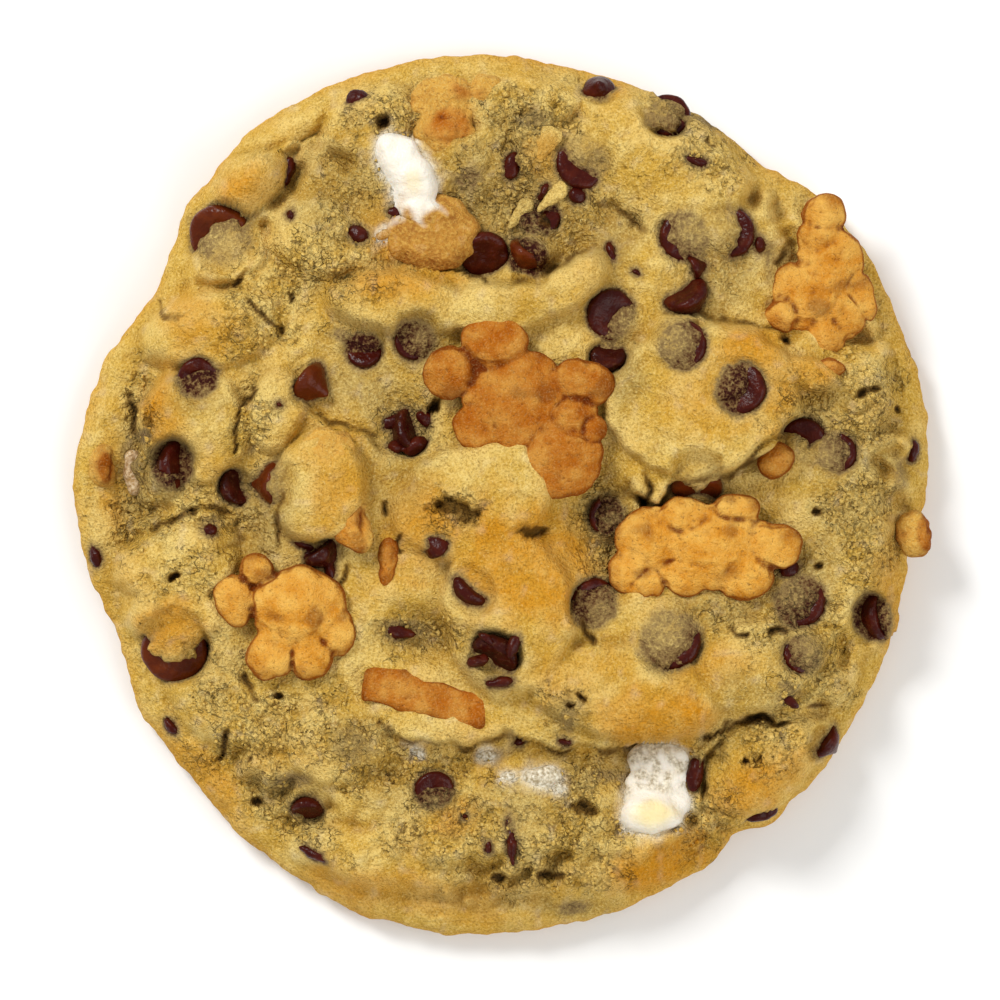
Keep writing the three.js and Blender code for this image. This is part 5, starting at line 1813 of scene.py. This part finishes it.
@dataclass
class Marshmallows(LobedPieces):
    """Marshmallows that melted into the dough, and the sugar that ran from them."""

    relief: Relief | None = None
    material: bpy.types.Material | None = None
    toasted: bpy.types.Material | None = None

    def build(self) -> list[bpy.types.Object]:
        """Builds every marshmallow and returns those that stayed white."""
        pieces = {node: self.melted(i, node, melt) for i, (node, melt) in enumerate(MARSHMALLOWS.items())}
        return [self.pools(), *(piece for node, piece in pieces.items() if MARSHMALLOWS[node].toast == 0)]

    def melted(self, index: int, node: str, melt: Melt) -> bpy.types.Object:
        """Builds one marshmallow.

        Args:
            index: Its number, which seeds its unevenness.
            node: Its CAD node.
            melt: Its shape.

        Returns:
            The piece.
        """
        piece = self.blob("melted_" + node, melt.lobes, self.middle(node), (0, 0))
        self.soften(piece, 800 + 20 * index, melt)
        dress(piece, self.toasted if melt.toast == 1 else self.material, "marshmallow", node)
        return piece

    def soften(self, piece: bpy.types.Object, seed: int, melt: Melt) -> None:
        """Makes a melt uneven and paints its cream, toasted and clear parts.

        Args:
            piece: The piece.
            seed: Which noise.
            melt: How far it is toasted or clear.
        """
        mesh = piece.data
        places = places_of(mesh)
        rough = 0.3 + 0.7 * max(melt.toast, melt.clear)
        warp = [grain3(places + aside, MELT_WARP, seed) for aside in (0, 40)]
        places[:, :2] += 0.5 * np.stack(warp, axis=1)
        push = layers3(places, seed, MELT_SWELL) + rough**2 * layers3(places, seed, MELT_CRUST)
        set_places(mesh, places + normals_of(mesh) * push[:, None])
        x, y, _ = places.T
        wander = 0.3 * grain(x, y, 1.8, seed + 12)
        cream = smooth(1.5 - oval_distance(x, y, CREAM_LOWER) + wander)
        cream = np.maximum(cream, 0.5 * smooth(1.3 - oval_distance(x, y, CREAM_UPPER)))
        threads = np.zeros(x.shape)
        for thread in SUGAR_THREADS:
            distance, _, share = path_distance(x + wander, y - wander, thread)
            width = 0.65 - 0.4 * share
            threads = np.maximum(threads, (0.9 - 0.6 * share) * np.exp(-((distance / width) ** 2)))
        toasted = smooth((TOASTED_BELOW - y + 5 * wander) / 2.6) * (y > 20)
        toast = np.maximum(melt.toast, toasted) * (1 - 0.9 * threads)
        smeared = 0.9 * smooth((y - SUGARED_ABOVE + 3 * wander) / 1.2) * (y < -20) * (melt.clear < 1)
        smeared = smeared * smooth(0.7 + 1.4 * grain(x, y, 1.3, seed + 15))
        paint(mesh, "cream", cream)
        paint(mesh, "toast", toast)
        paint(mesh, "clear", np.maximum(melt.clear, smeared))

    def pools(self) -> bpy.types.Object:
        """Builds the small pools of clear sugar, as one piece.

        Returns:
            The piece.
        """
        piece = self.laid("melted_marshmallow_pools", SUGAR_POOLS, self.relief, tall=0.5, lift=-0.1)
        self.soften(piece, 960, Melt((), clear=1.0))
        dress(piece, self.material, "marshmallow")
        return piece


BIT_SKIN = (Layer(0.22, 1.6, 0), Layer(0.12, 0.7, 3))


@dataclass
class ChocolateBits(LobedPieces):
    """Slivers and crumbs of chocolate that broke off the chips, as one piece."""

    relief: Relief | None = None
    material: bpy.types.Material | None = None
    tall: float = 0.9
    shows: float = 0.5

    def build(self) -> bpy.types.Object:
        """Builds the bits, each as deep in the dough as it shows.

        Returns:
            The piece.
        """
        lift = self.shows - self.tall
        piece = self.laid("chocolate_bits", CHOCOLATE_BITS, self.relief, self.tall, lift)
        roughen(piece.data, layers3(places_of(piece.data), 980, *BIT_SKIN))
        dress(piece, self.material, "chocolate")
        return piece


# Flakes of dough that stand up from the recess, turned to their tips.
FLAKES = ovals(
    (1.9, 33, 2.3, 0.95, 232), (5.8, 35, 2.4, 1.05, 222), (5, 41.2, 2.4, 1.5, 240),
)

# Along a flake from its middle to its tip: share of its length, and of its width there.
FLAKE_STEPS: tuple[Pair, ...] = ((-0.45, 1.0), (0.1, 0.85), (0.6, 0.5))
FLAKE_THICK = 0.5
FLAKE_LIFT = 0.4
FLAKE_SKIN = (Layer(0.2, 1.3, 0), Layer(0.08, 0.7, 3))


@dataclass
class Crumbs(LobedPieces):
    """Crumbs and shreds of dough that lie loose where it tore, as two pieces."""

    relief: Relief | None = None
    material: bpy.types.Material | None = None
    count: int = 1500

    def build(self) -> None:
        """Builds the shreds and the crumbs."""
        self.shreds()
        self.grains()

    def shreds(self) -> None:
        """Builds the shreds of dough."""
        heights, _ = self.relief.surface(*np.array([flake.at for flake in FLAKES]).T)
        lobes = []
        for flake, height in zip(FLAKES, heights):
            turn = np.radians(flake.turn)
            for along, wide in FLAKE_STEPS:
                reach = along * flake.half[0]
                at = (flake.at[0] + reach * np.cos(turn), flake.at[1] + reach * np.sin(turn))
                half = (0.5 * flake.half[0], wide * flake.half[1], FLAKE_THICK)
                lobes.append(Lobe(at, half, float(height + FLAKE_LIFT), flake.turn))
        piece = self.blob("dough_shreds", tuple(lobes), 0.0, (0, 0))
        roughen(piece.data, layers3(places_of(piece.data), 990, *FLAKE_SKIN))
        self.tint(piece, 0.9)
        dress(piece, self.material, "cookie_dough")

    def tint(self, piece: bpy.types.Object, pale: float) -> None:
        """Gives loose dough the colour of the dough that it lies on.

        Args:
            piece: The piece.
            pale: How pale it is.
        """
        x, y, _ = places_of(piece.data).T
        paint(piece.data, "pale", np.full(len(x), pale))
        paint(piece.data, "golden", self.relief.browned(x, y, GOLDEN))
        paint(piece.data, "greyed", 0.8 * self.relief.browned(x, y, GREYED))

    def grains(self) -> None:
        """Builds the crumbs, thickest where the dough is coarse."""
        rng = np.random.default_rng(7)
        radius = (COOKIE_RADIUS - 2) * np.sqrt(rng.uniform(0, 1, 9 * self.count))
        bearing = rng.uniform(0, 2 * np.pi, radius.size)
        x, y = radius * np.cos(bearing), radius * np.sin(bearing)
        chance = self.relief.rough(x, y) ** 2 * (self.relief.torn(x, y)[1] < 0.2)
        for seat in self.relief.seats:
            chance = np.where(oval_distance(x, y, seat.oval) < 1.2, 0, chance)
        kept = np.nonzero(rng.uniform(0.02, 1, x.size) < chance)[0][: self.count]
        x, y = x[kept], y[kept]
        size = 0.13 + 0.22 * rng.uniform(0, 1, x.size) ** 2
        z = self.relief.surface(x, y)[0] + 0.1 * size
        shape = bmesh.new()
        for px, py, pz, half in zip(x, y, z, size):
            place = Matrix.Translation(Vector((px, py, pz)) * MM)
            spin = Matrix.Rotation(rng.uniform(0, 6.28), 4, Vector(rng.normal(size=3)).normalized())
            stretch = Matrix.Diagonal((*(half * MM * rng.uniform(0.7, 1.3, 3)), 1))
            bmesh.ops.create_icosphere(shape, subdivisions=1, radius=1, matrix=place @ spin @ stretch)
        piece = mesh_of("dough_crumbs", shape)
        places = places_of(piece.data)
        set_places(piece.data, places + 0.07 * rng.normal(size=places.shape))
        self.tint(piece, 0.5)
        dress(piece, self.material, "cookie_dough")


# ---------------------------------------------------------------- studio

@dataclass
class Studio:
    """A pale floor, soft light and a camera straight above, as in the photograph."""

    lens: float = 275.0
    sensor: float = 36.0
    frame_mm: float = 117.65
    frame_height: float = 7.0
    middle: Pair = (-0.41, -0.53)

    def build(self) -> None:
        """Builds the floor, the lights and the camera."""
        self.floor()
        self.lights()
        self.camera()

    def floor(self) -> None:
        """A white floor that the cookie lies on."""
        shape = bmesh.new()
        bmesh.ops.create_grid(shape, x_segments=1, y_segments=1, size=2)
        floor = mesh_of("floor", shape)
        p = Palette("white_painted_board")
        patch = p.noise(300, 1)
        board = p.finish({"Base Color": p.mix(patch, "#fbfbfa", "#f7f7f5"), "Roughness": 0.8})
        floor.data.materials.append(board)

    def lights(self) -> None:
        """One large soft light from the upper left, a weaker one opposite, and a bright room."""
        for name, place, size, power in (
            ("key", (-0.55, 0.6, 0.8), 0.36, 9.4),
            ("fill", (0.7, -0.4, 0.8), 0.9, 5.6),
        ):
            data = bpy.data.lights.new(name, "AREA")
            data.size = size
            data.energy = power
            light = bpy.data.objects.new(name, data)
            light.location = place
            light.rotation_euler = (-Vector(place)).to_track_quat("-Z", "Y").to_euler()
            bpy.context.collection.objects.link(light)
        world = bpy.data.worlds.new("bright_room")
        bpy.context.scene.world = world
        world.use_nodes = True
        world.node_tree.nodes["Background"].inputs["Color"].default_value = (1, 1, 1, 1)
        world.node_tree.nodes["Background"].inputs["Strength"].default_value = 0.5

    def camera(self) -> None:
        """A long lens that frames what the photograph frames."""
        data = bpy.data.cameras.new("camera")
        data.lens = self.lens
        data.sensor_width = self.sensor
        data.clip_end = 20
        away = self.frame_mm * self.lens / self.sensor
        camera = bpy.data.objects.new("camera", data)
        camera.location = Vector((*self.middle, self.frame_height + away)) * MM
        bpy.context.collection.objects.link(camera)
        bpy.context.scene.camera = camera
        bpy.context.scene.view_settings.view_transform = "Standard"


def main() -> None:
    """Builds the cookie, piece by piece."""
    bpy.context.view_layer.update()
    chocolate = {
        Cocoa.DARK: ChocolateFinish("dark_chocolate", "#3a0b05", "#5c1f0b").build(),
        Cocoa.MILK: ChocolateFinish("milk_chocolate", "#551f07", "#76340c").build(),
        Cocoa.CRUMBLED: ChocolateFinish("crumbled_chocolate", "#330b06", "#561f0e", 0.15).build(),
    }
    chips, seats = ChocolateChips(chocolate).build()
    relief = Relief(seats=seats)
    bits = ChocolateBits(relief=relief, material=chocolate[Cocoa.DARK]).build()
    Biscuits(material=BiscuitFinish().build()).build()
    melted = MarshmallowFinish("melted_marshmallow", 0.4).build()
    toasted = MarshmallowFinish("toasted_marshmallow", 0.8).build()
    white = Marshmallows(relax=14, relief=relief, material=melted, toasted=toasted).build()
    dough = DoughFinish().build()
    Dough(relief, tree_of([*chips, bits]), tree_of(white), dough).build()
    Crumbs(relief=relief, material=dough).build()
    Studio().build()


if __name__ == "__main__":
    main()
